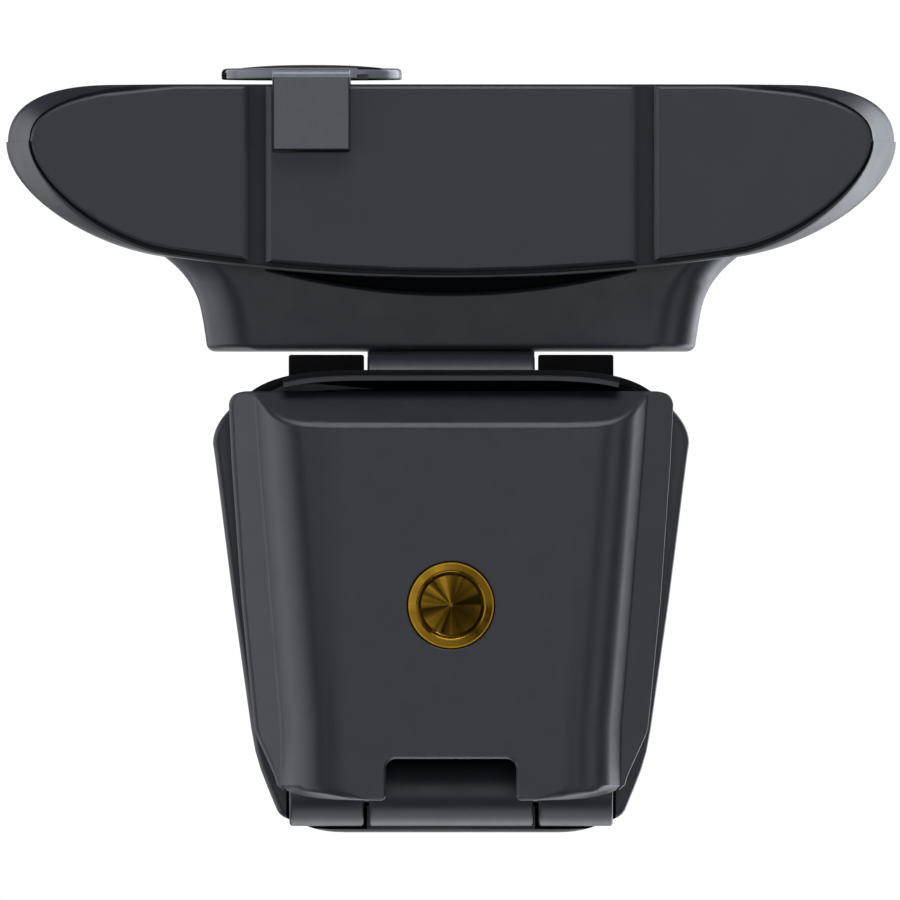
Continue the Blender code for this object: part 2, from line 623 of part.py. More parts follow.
def leg_section(y, inset=0.0):
    """Half section (x, z): flat face, rounded side, crease, flange."""
    crease = along_leg(LEG_CREASE, y) - inset
    edge = along_leg(LEG_EDGE, y) - inset
    points = [(0.0, inset), (LEG_FLAT - inset, inset)]
    steps = 6
    reach = crease - 0.35 - LEG_FLAT
    height = LEG_CREASE_Z - inset
    for i in range(1, steps + 1):
        turn = math.radians(90.0 * i / steps)
        points.append((LEG_FLAT + reach * math.sin(turn), LEG_CREASE_Z - height * math.cos(turn)))
    points += [(crease, LEG_CREASE_Z + 0.1), (max(edge - 0.4, crease + 0.05), LEG_CREASE_Z + 0.1)]
    points += [(max(edge, crease + 0.1), LEG_CREASE_Z + 0.5), (max(edge, crease + 0.1), LEG_TOP), (0.0, LEG_TOP)]
    return points


def leg_ring(y, place=None, inset=0.0, squeeze=1.0):
    """Whole ring of the leg at y; place(z) may move each point along y, and squeeze narrows it."""
    half = leg_section(y, inset)
    right = [(x * squeeze, place(z) if place else y, z) for x, z in half]
    left = [(-x, py, z) for x, py, z in reversed(right) if x > 1e-6]
    return right + left


def free_end(z):
    return LEG_FRONT - LEG_SLANT * min(z, LEG_CREASE_Z + 0.3) / LEG_CREASE_Z


LEG_SCREWS = [(-11.5, 3.5), (11.5, 3.5), (-10.2, 22.5), (10.2, 22.5)]


def make_leg(parent):
    rings = [leg_ring(-4.0, free_end, 0.3), leg_ring(-3.7, lambda z: free_end(z) + 0.3)]
    rings += [leg_ring(y) for y in (1.5, 14.4, 26.5, 29.5, 31.7)]
    rings += [leg_ring(LEG_REAR - back, squeeze=share) for back, share in ((0.65, 0.92), (0.15, 0.79), (0.0, 0.45))]
    shell = loft(rings)

    def pocket_side(y, wall):
        return along_leg(LEG_CREASE, y) - wall

    pocket = [(-pocket_side(0.5, 4.0), 0.5), (pocket_side(0.5, 4.0), 0.5), (pocket_side(14.4, 3.4), 14.4),
              (pocket_side(26.0, 3.4), 26.0), (-pocket_side(26.0, 3.4), 26.0), (-pocket_side(14.4, 3.4), 14.4)]
    floor = prism(offset(pocket, lambda x, y: 1.0), LEG_FLOOR, 4.0)
    notch = rounded_box(NOTCH_HALF_WIDTH, NOTCH_FRONT, 38.0, 0.8, steps=3)
    shell = cut(shell, prism(notch, -1.0, LEG_TOP + 2.0), floor, prism(pocket, 3.0, LEG_TOP + 1.0))
    shell = join(shell, rod(6.2, LEG_FLOOR - 0.5, 5.0, (0, SOCKET_Y, 0), "Z", 32))
    shell = cut(shell, rod(INSERT_RADIUS + GAP, -1.0, 5.5, (0, SOCKET_Y, 0), "Z", 36))
    for x, y in LEG_SCREWS:
        shell = join(shell, rod(2.2, LEG_FLOOR - 0.3, 5.0, (x, y, 0), "Z", 16))
        shell = cut(shell, rod(1.0, 2.2, 6.0, (x, y, 0), "Z", 12))
    shell = cut(shell, rod(CLIP_RADIUS + 1.0, -15.8, 15.8, (0, CLIP_Y, CLIP_Z), "X", 36))
    for side in (-1.0, 1.0):
        low, high = sorted((side * KNUCKLE_IN, side * KNUCKLE_OUT))
        web = [(27.6, 2.2), (31.3, 2.2), (31.3, CLIP_Z - 1.0), (30.6, CLIP_Z + 1.0), (29.6, CLIP_Z), (27.6, 5.6)]
        shell = join(shell, prism(web, low, high, "X"))
        shell = join(shell, rod(CLIP_RADIUS, low, high, (0, CLIP_Y, CLIP_Z), "X", 28))
    shell = cut(shell, rod(CLIP_PIN_RADIUS + GAP, -15.5, 15.5, (0, CLIP_Y, CLIP_Z), "X", 20))
    to_object("leg_shell", shell, BLACK_SATIN, parent)

    cover = prism(offset(pocket, lambda x, y: GAP), 5.3, 6.7)
    for x, y in LEG_SCREWS:
        cover = cut(cover, rod(1.1, 4, 8, (x, y, 0), "Z", 12), rod(2.1, 6.0, 8, (x, y, 0), "Z", 16))
    to_object("leg_cover", cover, DARK_GREY, parent)
    for name, (x, y) in zip(SCREW_CORNERS, LEG_SCREWS):
        screw = [(0, 2.6), (0.7, 2.8), (0.7, 6.1), (1.7, 6.1), (1.7, 6.4), (1.3, 6.65), (0, 6.65)]
        to_object("leg_screw_" + name, lathe(screw, (x, y, 0), "Z", 12), STEEL, parent)
    pad = [(-16.8, -3.0), (16.8, -3.0), (15.2, 14.4), (14.2, 27.0), (-14.2, 27.0), (-15.2, 14.4)]
    to_object("leg_pad", prism(pad, LEG_TOP + GAP, 7.9), SOFT_BLACK, parent)

    insert = [(0, SOCKET_DEPTH), (SOCKET_RADIUS, SOCKET_DEPTH - 0.1), (SOCKET_RADIUS, 0.45), (SOCKET_MOUTH, 0.05),
              (INSERT_RADIUS, 0.05), (INSERT_RADIUS, INSERT_LENGTH), (0, INSERT_LENGTH)]
    to_object("tripod_insert", lathe(insert, (0, SOCKET_Y, 0), "Z", 40), BRASS, parent)
    pin = [(0, -14.9), (0.9, -14.9), (CLIP_PIN_RADIUS, -14.7), (CLIP_PIN_RADIUS, 14.7), (0.9, 14.9), (0, 14.9)]
    to_object("clip_pin", lathe(pin, (0, CLIP_Y, CLIP_Z), "X", 16), STEEL, parent)


def main():
    clear_scene()
    foot = make_empty("foot_frame", (0, 0, 0))
    clip_axis = make_empty("clip_axis", (0, CLIP_Y, CLIP_Z))
    neck_axis = make_empty("neck_axis", (0, NECK_Y, NECK_Z), clip_axis)
    shutter_axis = make_empty("shutter_track", (SHUTTER_X, HEAD_FRONT, LENS_Z), neck_axis)
    make_leg(foot)
    make_base(clip_axis)
    make_rear_shell(neck_axis)
    make_front_bezel(neck_axis)
    make_front_panel(neck_axis)
    make_underside_panels(neck_axis)
    make_lens(neck_axis)
    make_electronics(neck_axis)
    make_tilt_bracket(neck_axis)
    make_shutter(shutter_axis)


main()
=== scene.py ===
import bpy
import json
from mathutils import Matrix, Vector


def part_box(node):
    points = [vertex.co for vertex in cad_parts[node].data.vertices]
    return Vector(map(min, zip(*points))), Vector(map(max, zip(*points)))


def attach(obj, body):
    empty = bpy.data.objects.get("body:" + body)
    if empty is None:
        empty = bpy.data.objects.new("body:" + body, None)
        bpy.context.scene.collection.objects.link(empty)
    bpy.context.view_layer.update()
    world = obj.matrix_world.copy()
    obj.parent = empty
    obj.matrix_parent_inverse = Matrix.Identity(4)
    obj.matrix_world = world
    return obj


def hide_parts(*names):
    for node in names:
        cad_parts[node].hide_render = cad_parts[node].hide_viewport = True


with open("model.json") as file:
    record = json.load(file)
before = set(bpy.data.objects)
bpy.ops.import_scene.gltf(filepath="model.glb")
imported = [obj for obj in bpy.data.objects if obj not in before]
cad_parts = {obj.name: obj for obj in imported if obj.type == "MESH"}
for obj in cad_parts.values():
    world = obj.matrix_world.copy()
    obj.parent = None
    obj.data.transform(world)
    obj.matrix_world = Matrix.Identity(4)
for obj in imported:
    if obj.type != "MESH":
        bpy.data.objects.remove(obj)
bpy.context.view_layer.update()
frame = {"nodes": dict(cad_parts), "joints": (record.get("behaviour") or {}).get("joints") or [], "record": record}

import json
import math

import bmesh
import bpy
from bpy.props import FloatProperty, FloatVectorProperty, IntProperty, PointerProperty
from mathutils import Matrix, Vector

bl_info = {
    "name": "Clip-on webcam",
    "version": (1, 0, 0),
    "blender": (4, 5, 0),
    "location": "3D View > Sidebar > Webcam",
    "description": "Detailed surfaces for a webcam with a friction neck, a lens shutter and a folding clip",
    "category": "Add Mesh",
}

MM = 0.001


# --- what the frame says, in millimetres ---
def box_mm(node):
    low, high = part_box(node)
    return [v / MM for v in low], [v / MM for v in high]


def joint_axis_mm(name):
    for joint in frame["joints"]:
        if joint["name"] == name:
            return [v / MM for v in joint["pos_m"]]
    raise RuntimeError("the frame has no joint " + name)


def middle(node, axis):
    low, high = box_mm(node)
    return (low[axis] + high[axis]) / 2.0


SLOTS = {part["node"]: part["material_slot"] for part in frame["record"]["subparts"]}
REAR_LOW, REAR_HIGH = box_mm("rear_shell")
BEZEL_LOW, BEZEL_HIGH = box_mm("front_bezel")
BASE_HIGH = box_mm("base_shell")[1]
HALF_WIDTH = REAR_HIGH[0]
FRONT = BEZEL_LOW[1]
BOTTOM = BEZEL_LOW[2]
TOP = BEZEL_HIGH[2]
TIP_Y = (BEZEL_HIGH[1] + REAR_LOW[1]) / 2.0
HOUSING_REAR = REAR_HIGH[1]
LENS_Z = middle("lens_trim_ring", 2)
NECK = joint_axis_mm("head_tilt")
CLIP = joint_axis_mm("clip_open")
SOCKET = (0.0, middle("tripod_insert", 1), 0.0)
TONGUE = box_mm("tilt_bracket")[1][0]
BASE_TOP = box_mm("base_pad")[1][2] + 5.7
BASE_BOTTOM = BASE_TOP - 5.6
BASE_FRONT = -7.3
BASE_REAR = BASE_HIGH[1]
LEG_TOP = box_mm("leg_pad")[0][2] - 0.3
LEG_REAR = CLIP[1] + 0.85
GLAND_Z = middle("cable_gland", 2)
LED_X = middle("light_pipe", 0)
MIC_X = middle("microphone_right", 0)
SHUTTER_X = middle("shutter_cap", 0)
CLIP_LOW, CLIP_HIGH = box_mm("shutter_clip")
KNUCKLE = 3.3       # radius of the hinge's knuckles
HINGE_BORE = 1.4
NECK_BORE = 1.8
PAST = 60.0         # beyond every piece
CORNERS = ("front_left", "front_right", "rear_left", "rear_right")


def srgb(code):
    """Linear colour of an sRGB hex value such as 2b2c2f."""
    values = []
    for start in (0, 2, 4):
        share = int(code[start:start + 2], 16) / 255.0
        values.append(share / 12.92 if share <= 0.04045 else ((share + 0.055) / 1.055) ** 2.4)
    return tuple(values)


# --- settings ---
def length(label, description, default, low, high):
    """A length setting from figures in millimetres."""
    return FloatProperty(name=label, description=description, default=default * MM, min=low * MM,
                         max=high * MM, unit="LENGTH")


def tint(label, description, code):
    return FloatVectorProperty(name=label, description=description, subtype="COLOR", size=3,
                               default=srgb(code))


class WebcamSizes(bpy.types.PropertyGroup):
    """Sizes of the finished surfaces"""
    tip_round: length("Tip rounding", "Height over which the head's tips round off", 6.4, 1.0, 10.0)
    tip_inset: length("Tip inset", "How far the underside lies inside the tips", 2.15, 0.0, 4.0)
    groove_inner: length("Groove inner edge", "Where the centre panel slopes into a groove", 16.9, 15.0, 18.0)
    groove_outer: length("Groove outer edge", "Where a side panel slopes into a groove", 19.75, 19.0, 21.0)
    groove_slope: length("Groove shoulder", "Width of each groove's sloping shoulder", 0.6, 0.0, 1.0)
    housing_round: length("Housing rounding", "Corner radius along the rear housing", 4.6, 1.0, 6.0)
    foot_flat: length("Foot flat", "Half width of the foot's flat face", 9.8, 8.0, 12.0)
    crease: length("Crease height", "Height of the crease between the foot's bulge and flanges", 4.5, 3.0, 6.0)
    thread_pitch: length("Thread pitch", "Pitch of the quarter-inch tripod thread", 1.27, 0.5, 2.0)
    thread_depth: length("Thread depth", "Height of the thread's ridges", 0.42, 0.0, 0.8)
    pad_ribs: IntProperty(name="Pad ribs", description="Grip ribs across each rubber pad", default=16, min=2,
                          max=40)


class WebcamColours(bpy.types.PropertyGroup):
    """Colours of the finishes"""
    shell: tint("Shell", "Spark-eroded ABS of the shells", "27292e")
    panel: tint("Panel", "Finer ABS of the underside panels", "303237")
    shutter: tint("Shutter", "Grey polycarbonate of the shutter", "55565a")
    gloss: tint("Gloss", "Polished acrylic", "0b0b0d")
    rubber: tint("Rubber", "Silicone grip pads", "1b1b1d")
    brass: tint("Brass", "Turned brass socket", "a37c24")


def sizes():
    return bpy.context.scene.webcam_sizes


def size(name):
    """A size of the settings in millimetres."""
    return getattr(sizes(), name) / MM


def colours():
    return bpy.context.scene.webcam_colours


# --- outlines, in millimetres ---
def bezier(start, handle_a, handle_b, end, steps):
    """Points of a cubic curve after its start, up to and with its end."""
    points = []
    for i in range(1, steps + 1):
        t = i / steps
        s = 1.0 - t
        weights = (s ** 3, 3 * s * s * t, 3 * s * t * t, t ** 3)
        knots = (start, handle_a, handle_b, end)
        points.append(tuple(sum(w * k[axis] for w, k in zip(weights, knots)) for axis in (0, 1)))
    return points


def mirrored(half):
    return list(half) + [(-x, y) for x, y in reversed(half) if x > 1e-6]


def filleted(corners, steps=5):
    """Outline through (u, v, radius) corners, each with a radius turned into an arc."""
    points = []
    count = len(corners)
    for i, (u, v, radius) in enumerate(corners):
        here = Vector((u, v))
        if radius <= 0.0:
            points.append((u, v))
            continue
        back = (Vector(corners[i - 1][:2]) - here).normalized()
        ahead = (Vector(corners[(i + 1) % count][:2]) - here).normalized()
        half = back.angle(ahead) / 2.0
        reach = radius / math.tan(half)
        centre = here + (back + ahead).normalized() * (radius / math.sin(half))
        first = here + back * reach - centre
        last = here + ahead * reach - centre
        turn = first.angle_signed(last)
        for step in range(steps + 1):
            spoke = first.copy()
            spoke.rotate(Matrix.Rotation(-turn * step / steps, 2))
            points.append(tuple(centre + spoke))
    return points


def rounded_box(half_u, low_v, high_v, radius, steps=6):
    return filleted([(half_u, low_v, radius), (half_u, high_v, radius),
                     (-half_u, high_v, radius), (-half_u, low_v, radius)], steps)


def offset(outline, distance):
    """Move each point of a counter-clockwise outline inwards; distance is a number or f(x, y)."""
    count = len(outline)
    moved = []
    for i, (x, y) in enumerate(outline):
        here = Vector((x, y))
        first = (here - Vector(outline[i - 1])).normalized()
        second = (Vector(outline[(i + 1) % count]) - here).normalized()
        normal = Vector((-(first + second).y, (first + second).x)).normalized()
        stretch = 1.0 / max(0.5, normal.dot(Vector((-first.y, first.x))))
        step = distance(x, y) if callable(distance) else distance
        moved.append(tuple(here + normal * step * stretch))
    return moved


def cross_x(a, b, limit):
    share = (limit - a[0]) / (b[0] - a[0])
    return (limit, a[1] + share * (b[1] - a[1]))


def clip_outline(outline, low_x, high_x, guard):
    """The part of an outline between two lines across x, without points nearer a line than guard."""
    for limit, keep in ((low_x, 1.0), (high_x, -1.0)):
        result = []
        for i, point in enumerate(outline):
            last = outline[i - 1]
            depth = (point[0] - limit) * keep
            if (depth >= 0.0) != ((last[0] - limit) * keep >= 0.0):
                result.append(cross_x(last, point, limit))
            if depth >= guard:
                result.append(point)
        outline = result
    return outline


def arc(centre, radius, start, end, steps):
    points = []
    for i in range(steps + 1):
        turn = math.radians(start + (end - start) * i / steps)
        points.append((centre[0] + radius * math.cos(turn), centre[1] + radius * math.sin(turn)))
    return points


def quarter(radius, steps):
    """(inset, rise) pairs of a quarter round, from the face inwards to the side."""
    turns = [math.radians(90.0 * i / steps) for i in range(steps + 1)]
    return [(radius * (1.0 - math.sin(turn)), radius * (1.0 - math.cos(turn))) for turn in turns]


# --- solids, in millimetres ---
def as_mesh(body):
    bmesh.ops.recalc_face_normals(body, faces=body.faces)
    mesh = bpy.data.meshes.new("solid")
    body.to_mesh(mesh)
    body.free()
    return mesh


def loft(rings):
    """Closed solid through rings of equally many points."""
    body = bmesh.new()
    rows = [[body.verts.new(point) for point in ring] for ring in rings]
    count = len(rows[0])
    for low, high in zip(rows, rows[1:]):
        for i in range(count):
            j = (i + 1) % count
            body.faces.new((low[i], low[j], high[j], high[i]))
    caps = [body.faces.new(rows[0]), body.faces.new(rows[-1])]
    body.normal_update()
    bmesh.ops.triangulate(body, faces=caps, ngon_method="EAR_CLIP")
    return as_mesh(body)


def placed(pair, level, along):
    u, v = pair
    return {"Z": (u, v, level), "Y": (u, level, v), "X": (level, u, v)}[along]


def prism(outline, low, high, along="Z", edge_low=0.0, edge_high=0.0, steps=3):
    """Extruded outline; each end may have a rounded edge. A negative edge flares a cutter outwards."""
    levels = []
    for edge, base, way in ((edge_low, low, 1), (edge_high, high, -1)):
        pairs = quarter(abs(edge), steps)[::way] if edge else [(0.0, 0.0)]
        levels += [(math.copysign(inset, edge), base + way * rise) for inset, rise in pairs]
    rings = []
    for inset, level in levels:
        plan = offset(outline, inset) if inset else outline
        rings.append([placed(pair, level, along) for pair in plan])
    return loft(rings)


def block(low, high):
    outline = [(low[0], low[1]), (high[0], low[1]), (high[0], high[1]), (low[0], high[1])]
    return prism(outline, low[2], high[2])


def lathe(profile, centre, along, sides=72, closed=False, wave=None):
    """Turn (radius, level) points about an axis; wave(radius, level, turn) may move a point's radius."""
    axes = {"X": (1, 2, 0), "Y": (2, 0, 1), "Z": (0, 1, 2)}[along]
    body = bmesh.new()

    def spot(radius, level, turn):
        if wave:
            radius = wave(radius, level, turn)
        place = [0.0, 0.0, 0.0]
        place[axes[0]] = centre[axes[0]] + radius * math.cos(turn)
        place[axes[1]] = centre[axes[1]] + radius * math.sin(turn)
        place[axes[2]] = level
        return body.verts.new(place)

    rows = []
    for radius, level in profile:
        if radius == 0.0:
            rows.append([spot(0.0, level, 0.0)] * sides)
        else:
            rows.append([spot(radius, level, 2.0 * math.pi * (i + 0.5) / sides) for i in range(sides)])
    pairs = list(zip(rows, rows[1:]))
    if closed:
        pairs.append((rows[-1], rows[0]))
    for low, high in pairs:
        for i in range(sides):
            j = (i + 1) % sides
            corners = []
            for vert in (low[i], low[j], high[j], high[i]):
                if vert not in corners:
                    corners.append(vert)
            body.faces.new(corners)
    return as_mesh(body)


def rod(radius, low, high, centre, along, sides=48, edge=0.0):
    """Solid cylinder with small rounded rims."""
    rim = quarter(edge, 3) if edge else [(0.0, 0.0)]
    profile = [(0.0, low)] + [(radius - inset, low + rise) for inset, rise in rim]
    profile += [(radius - inset, high - rise) for inset, rise in rim[::-1]] + [(0.0, high)]
    return lathe(profile, centre, along, sides)


def held(mesh):
    holder = bpy.data.objects.new("holder", mesh)
    bpy.context.scene.collection.objects.link(holder)
    return holder


def applied(*holders):
    """Mesh of the first holder with its modifiers applied; all the holders go."""
    graph = bpy.context.evaluated_depsgraph_get()
    result = bpy.data.meshes.new_from_object(holders[0].evaluated_get(graph))
    for holder in holders:
        bpy.data.objects.remove(holder, do_unlink=True)
    return result


def combine(mesh, tool, operation):
    """Boolean of two closed meshes with the exact solver; both are used up."""
    target, cutter = held(mesh), held(tool)
    step = target.modifiers.new("step", "BOOLEAN")
    step.operation = operation
    step.solver = "EXACT"
    step.object = cutter
    result = applied(target, cutter)
    if not result.polygons:
        raise RuntimeError(operation + " left nothing")
    return result


def cut(mesh, *tools):
    for tool in tools:
        mesh = combine(mesh, tool, "DIFFERENCE")
    return mesh


def join(mesh, *others):
    for other in others:
        mesh = combine(mesh, other, "UNION")
    return mesh


def bosses(shell, screws, across, outer, outer_span, inner, inner_span, along):
    """A boss with a pilot hole round each screw; across names the two axes of its centre."""
    for screw in screws:
        centre = [0.0, 0.0, 0.0]
        for axis in across:
            centre[axis] = middle(screw, axis)
        shell = join(shell, rod(outer, *outer_span, centre, along, 24))
        shell = cut(shell, rod(inner, *inner_span, centre, along, 16))
    return shell


def tidy(mesh, sharp):
    """Weld the seams that Booleans leave, shade round surfaces smooth and keep real edges sharp."""
    body = bmesh.new()
    body.from_mesh(mesh)
    bmesh.ops.remove_doubles(body, verts=body.verts, dist=0.002)
    bmesh.ops.dissolve_degenerate(body, edges=body.edges, dist=0.001)
    body.to_mesh(mesh)
    body.free()
    mesh.shade_smooth()
    mesh.set_sharp_from_angle(angle=math.radians(sharp))
    holder = held(mesh)
    weigh = holder.modifiers.new("weigh", "WEIGHTED_NORMAL")
    weigh.keep_sharp = True
    weigh.weight = 80
    return applied(holder)


def piece(name, mesh, material, body, node, sharp=34.0):
    """Finished piece in metres that rides on a body and stands for a CAD node."""
    mesh = tidy(mesh, sharp)
    mesh.transform(Matrix.Scale(MM, 4))
    mesh.name = name
    mesh.materials.clear()
    mesh.materials.append(material)
    for polygon in mesh.polygons:
        polygon.material_index = 0
    thing = bpy.data.objects.new(name, mesh)
    bpy.context.scene.collection.objects.link(thing)
    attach(thing, body)
    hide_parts(node)
    return thing


def second_finish(thing, material, chosen):
    """Give the polygons that chosen(centre in mm, normal) picks a second material."""
    thing.data.materials.append(material)
    slot = len(thing.data.materials) - 1
    for polygon in thing.data.polygons:
        if chosen(polygon.center / MM, polygon.normal):
            polygon.material_index = slot


# --- finishes ---
def connect(tree, node, inputs):
    """Set inputs to values, to sockets or to the first live output of other nodes."""
    for key, value in inputs.items():
        if isinstance(value, bpy.types.Node):
            value = next(output for output in value.outputs if output.enabled)
        if isinstance(value, bpy.types.NodeSocket):
            tree.links.new(value, node.inputs[key])
        else:
            node.inputs[key].default_value = value


def add(tree, kind, inputs=None, **settings):
    """One shader node with its settings and links."""
    node = tree.nodes.new("ShaderNode" + kind)
    for key, value in settings.items():
        setattr(node, key, value)
    connect(tree, node, inputs or {})
    return node


def per_mm(millimetres):
    """Texture scale that makes one cell this many millimetres wide."""
    return 1.0 / (millimetres * MM)


def new_finish(name):
    """Empty material with its tree, shader and object coordinates; no tree when it is made already."""
    material = bpy.data.materials.get(name)
    if material:
        return material, None, None, None
    material = bpy.data.materials.new(name)
    material.use_nodes = True
    tree = material.node_tree
    place = add(tree, "TexCoord").outputs["Object"]
    return material, tree, tree.nodes["Principled BSDF"], place


def shade(colour, factor=1.0):
    """Colour of four parts from a linear colour or an sRGB hex value."""
    parts = srgb(colour) if isinstance(colour, str) else colour
    return tuple(min(1.0, part * factor) for part in parts) + (1.0,)


def moulded(name, colour, roughness, grain_mm, depth_um, mottle_mm=2.5, extra=None):
    """Injection-moulded plastic: etched grain in relief, slight clouding and uneven sheen."""
    material, tree, shader, place = new_finish(name)
    if tree is None:
        return material
    spread = 0.025
    cloud = add(tree, "TexNoise", {"Vector": place, "Scale": per_mm(mottle_mm), "Detail": 3.0})
    grain = add(tree, "TexNoise", {"Vector": place, "Scale": per_mm(grain_mm), "Detail": 2.0,
                                   "Roughness": 0.6})
    speck = add(tree, "TexVoronoi", {"Vector": place, "Scale": per_mm(grain_mm * 1.7)})
    tone = add(tree, "Mix", {"Factor": cloud, "A": shade(colour, 0.96), "B": shade(colour, 1.04)},
               data_type="RGBA")
    fleck = add(tree, "MapRange", {"Value": grain, "From Min": 0.35, "From Max": 0.7, "To Min": 0.93,
                                   "To Max": 1.07})
    tinted = add(tree, "Mix", {"Factor": 1.0, "A": tone, "B": fleck}, data_type="RGBA", blend_type="MULTIPLY")
    gloss = add(tree, "MapRange", {"Value": cloud, "From Min": 0.3, "From Max": 0.7,
                                   "To Min": roughness - spread, "To Max": roughness + spread})
    relief = add(tree, "Math", {0: grain, 1: speck}, operation="ADD")
    bump = add(tree, "Bump", {"Height": relief, "Strength": 0.6, "Distance": depth_um * 1e-6})
    connect(tree, shader, {"Base Color": tinted, "Roughness": gloss, "Normal": bump, "IOR": 1.5})
    connect(tree, shader, extra or {})
    return material


def abs_spark_eroded():
    """ABS from a spark-eroded mould: a fine satin grain that spreads highlights into soft bands."""
    return moulded("abs_spark_eroded_black", colours().shell, 0.40, 0.16, 5.0)


def abs_fine_etched():
    """ABS from a finely etched mould: flatter and more even than the shells round it."""
    return moulded("abs_fine_etched_charcoal", colours().panel, 0.46, 0.12, 4.0, 4.0)


def abs_coarse_etched_painted_shade():
    """ABS with a coarser etch, dull and granular; drawn at 0.22 mm so that it shows. Its colour, 0.72 of the
    shell's, is painted shade on the groove floors and the lens barrel.
    """
    return moulded("abs_coarse_etched_black_painted_shade", tuple(0.72 * c for c in colours().shell), 0.62, 0.22, 12.0)


def abs_painted_flange_highlight():
    """ABS with a shallower etch along the flanges; its paler satin colour is a painted highlight there."""
    return moulded("abs_satin_painted_highlight", "35363b", 0.44, 0.16, 3.0)


def abs_painted_shade():
    """ABS with a heavy mould texture, coloured near-black as painted shade in the gaps and at the neck."""
    return moulded("abs_black_painted_shade", "08080a", 0.85, 0.20, 14.0, extra={"Specular IOR Level": 0.12})


def polycarbonate_painted_dark_reflection():
    """Polycarbonate with polished edges: its colour, darker than the satin face, is a painted dark reflection; the
    thin bright reflections come from its low roughness.
    """
    return moulded("polycarbonate_grey_painted_dark_reflection", "1c1c1f", 0.16, 0.30, 0.5)


def polycarbonate_painted_reflection():
    """Polycarbonate ring, polished, with a pale colour that is a painted reflection of the bright surroundings."""
    return moulded("polycarbonate_pale_painted_reflection", "7e8088", 0.22, 0.30, 0.5)


def polycarbonate_satin():
    """Polycarbonate blend with a satin face: paler than the ABS, with crisp edge highlights."""
    return moulded("polycarbonate_satin_grey", colours().shutter, 0.36, 0.18, 3.0)


def silicone_matt():
    """Moulded silicone rubber: deep black, very matt, with a powdery bloom."""
    return moulded("silicone_rubber_matt_black", colours().rubber, 0.82, 0.20, 9.0, 1.5,
                   {"Sheen Weight": 0.15, "Sheen Roughness": 0.6})


def epoxy_moulded():
    """Filled epoxy of a chip package: dull charcoal with a fine moulded grain."""
    return moulded("epoxy_chip_package", "1d1d1f", 0.6, 0.14, 6.0)


def nylon_natural():
    """Natural nylon and clear diffuser resin: milky, slightly waxy."""
    return moulded("nylon_natural", "d8d6cc", 0.35, 0.2, 3.0,
                   extra={"Subsurface Weight": 0.15, "Subsurface Radius": (0.001, 0.001, 0.001)})


def acrylic_polished():
    """Cast acrylic, polished: near-black depth under a clear wet surface with faint wipe marks."""
    material, tree, shader, place = new_finish("acrylic_polished_black")
    if tree is None:
        return material
    streak = add(tree, "Mapping", {"Vector": place, "Scale": (1.0, 1.0, 9.0)})
    wipe = add(tree, "TexNoise", {"Vector": streak, "Scale": per_mm(9.0), "Detail": 4.0})
    gloss = add(tree, "MapRange", {"Value": wipe, "From Min": 0.35, "From Max": 0.75, "To Min": 0.05,
                                   "To Max": 0.13})
    tone = add(tree, "Mix", {"Factor": wipe, "A": shade(colours().gloss, 0.85),
                             "B": shade(colours().gloss, 1.2)}, data_type="RGBA")
    connect(tree, shader, {"Base Color": tone, "Roughness": gloss, "Coat Weight": 0.4, "Coat Roughness": 0.03})
    return material


def brass_turned_with_painted_spokes():
    """Free-cutting brass, turned: tool marks run round the axis. On the coned bottom of the bore the colour is
    painted with dark and bright spokes, as painted shade and painted highlights; the spokes also vary the
    roughness.
    """
    material, tree, shader, place = new_finish("brass_turned_with_painted_spokes")
    if tree is None:
        return material
    centred = add(tree, "Mapping", {"Vector": place, "Location": (0.0, -SOCKET[1] * MM, 0.0)})
    parts = add(tree, "SeparateXYZ", {"Vector": centred}).outputs
    spin = add(tree, "Math", {0: parts["Y"], 1: parts["X"]}, operation="ARCTAN2")
    spoke = add(tree, "TexNoise", {"W": spin, "Scale": 1.9, "Detail": 2.0}, noise_dimensions="1D")
    flat = add(tree, "CombineXYZ", {"X": parts["X"], "Y": parts["Y"]})
    reach = add(tree, "VectorMath", {0: flat}, operation="LENGTH")
    rings = add(tree, "TexNoise", {"W": reach.outputs["Value"], "Scale": per_mm(0.09), "Detail": 2.0},
                noise_dimensions="1D")
    stain = add(tree, "TexNoise", {"Vector": place, "Scale": per_mm(1.1), "Detail": 3.0})
    warm = add(tree, "Mix", {"Factor": stain, "A": shade(colours().brass, 0.72),
                             "B": shade(colours().brass, 1.1)}, data_type="RGBA")
    # Painted shade and painted highlights: from 3.0 to 3.8 mm up the bore the colour turns from 0.9 of the brass
    # into dark and bright spokes, darker on the whole, over the coned bottom.
    deep = add(tree, "MapRange", {"Value": parts["Z"], "From Min": 0.0030, "From Max": 0.0038})
    bright = add(tree, "MapRange", {"Value": spoke, "From Min": 0.38, "From Max": 0.66, "To Min": 0.10,
                                    "To Max": 0.78})
    painted_spoke_tone = add(tree, "Mix", {"Factor": deep, "A": 0.9, "B": bright})
    tinted = add(tree, "Mix", {"Factor": 1.0, "A": warm, "B": painted_spoke_tone}, data_type="RGBA", blend_type="MULTIPLY")
    gloss = add(tree, "MapRange", {"Value": spoke, "From Min": 0.3, "From Max": 0.7, "To Min": 0.34,
                                   "To Max": 0.16})
    bump = add(tree, "Bump", {"Height": rings, "Strength": 0.5, "Distance": 4e-6})
    connect(tree, shader, {"Base Color": tinted, "Roughness": gloss, "Normal": bump, "Metallic": 1.0})
    return material


def steel_zinc_plated():
    """Zinc-plated steel: cool grey, lightly drawn along its length, with a cloudy passivated sheen."""
    material, tree, shader, place = new_finish("steel_zinc_plated")
    if tree is None:
        return material
    cloud = add(tree, "TexNoise", {"Vector": place, "Scale": per_mm(0.7), "Detail": 4.0})
    tone = add(tree, "Mix", {"Factor": cloud, "A": shade("8d9094"), "B": shade("b9bcc0")}, data_type="RGBA")
    gloss = add(tree, "MapRange", {"Value": cloud, "To Min": 0.22, "To Max": 0.42})
    connect(tree, shader, {"Base Color": tone, "Roughness": gloss, "Metallic": 1.0})
    return material


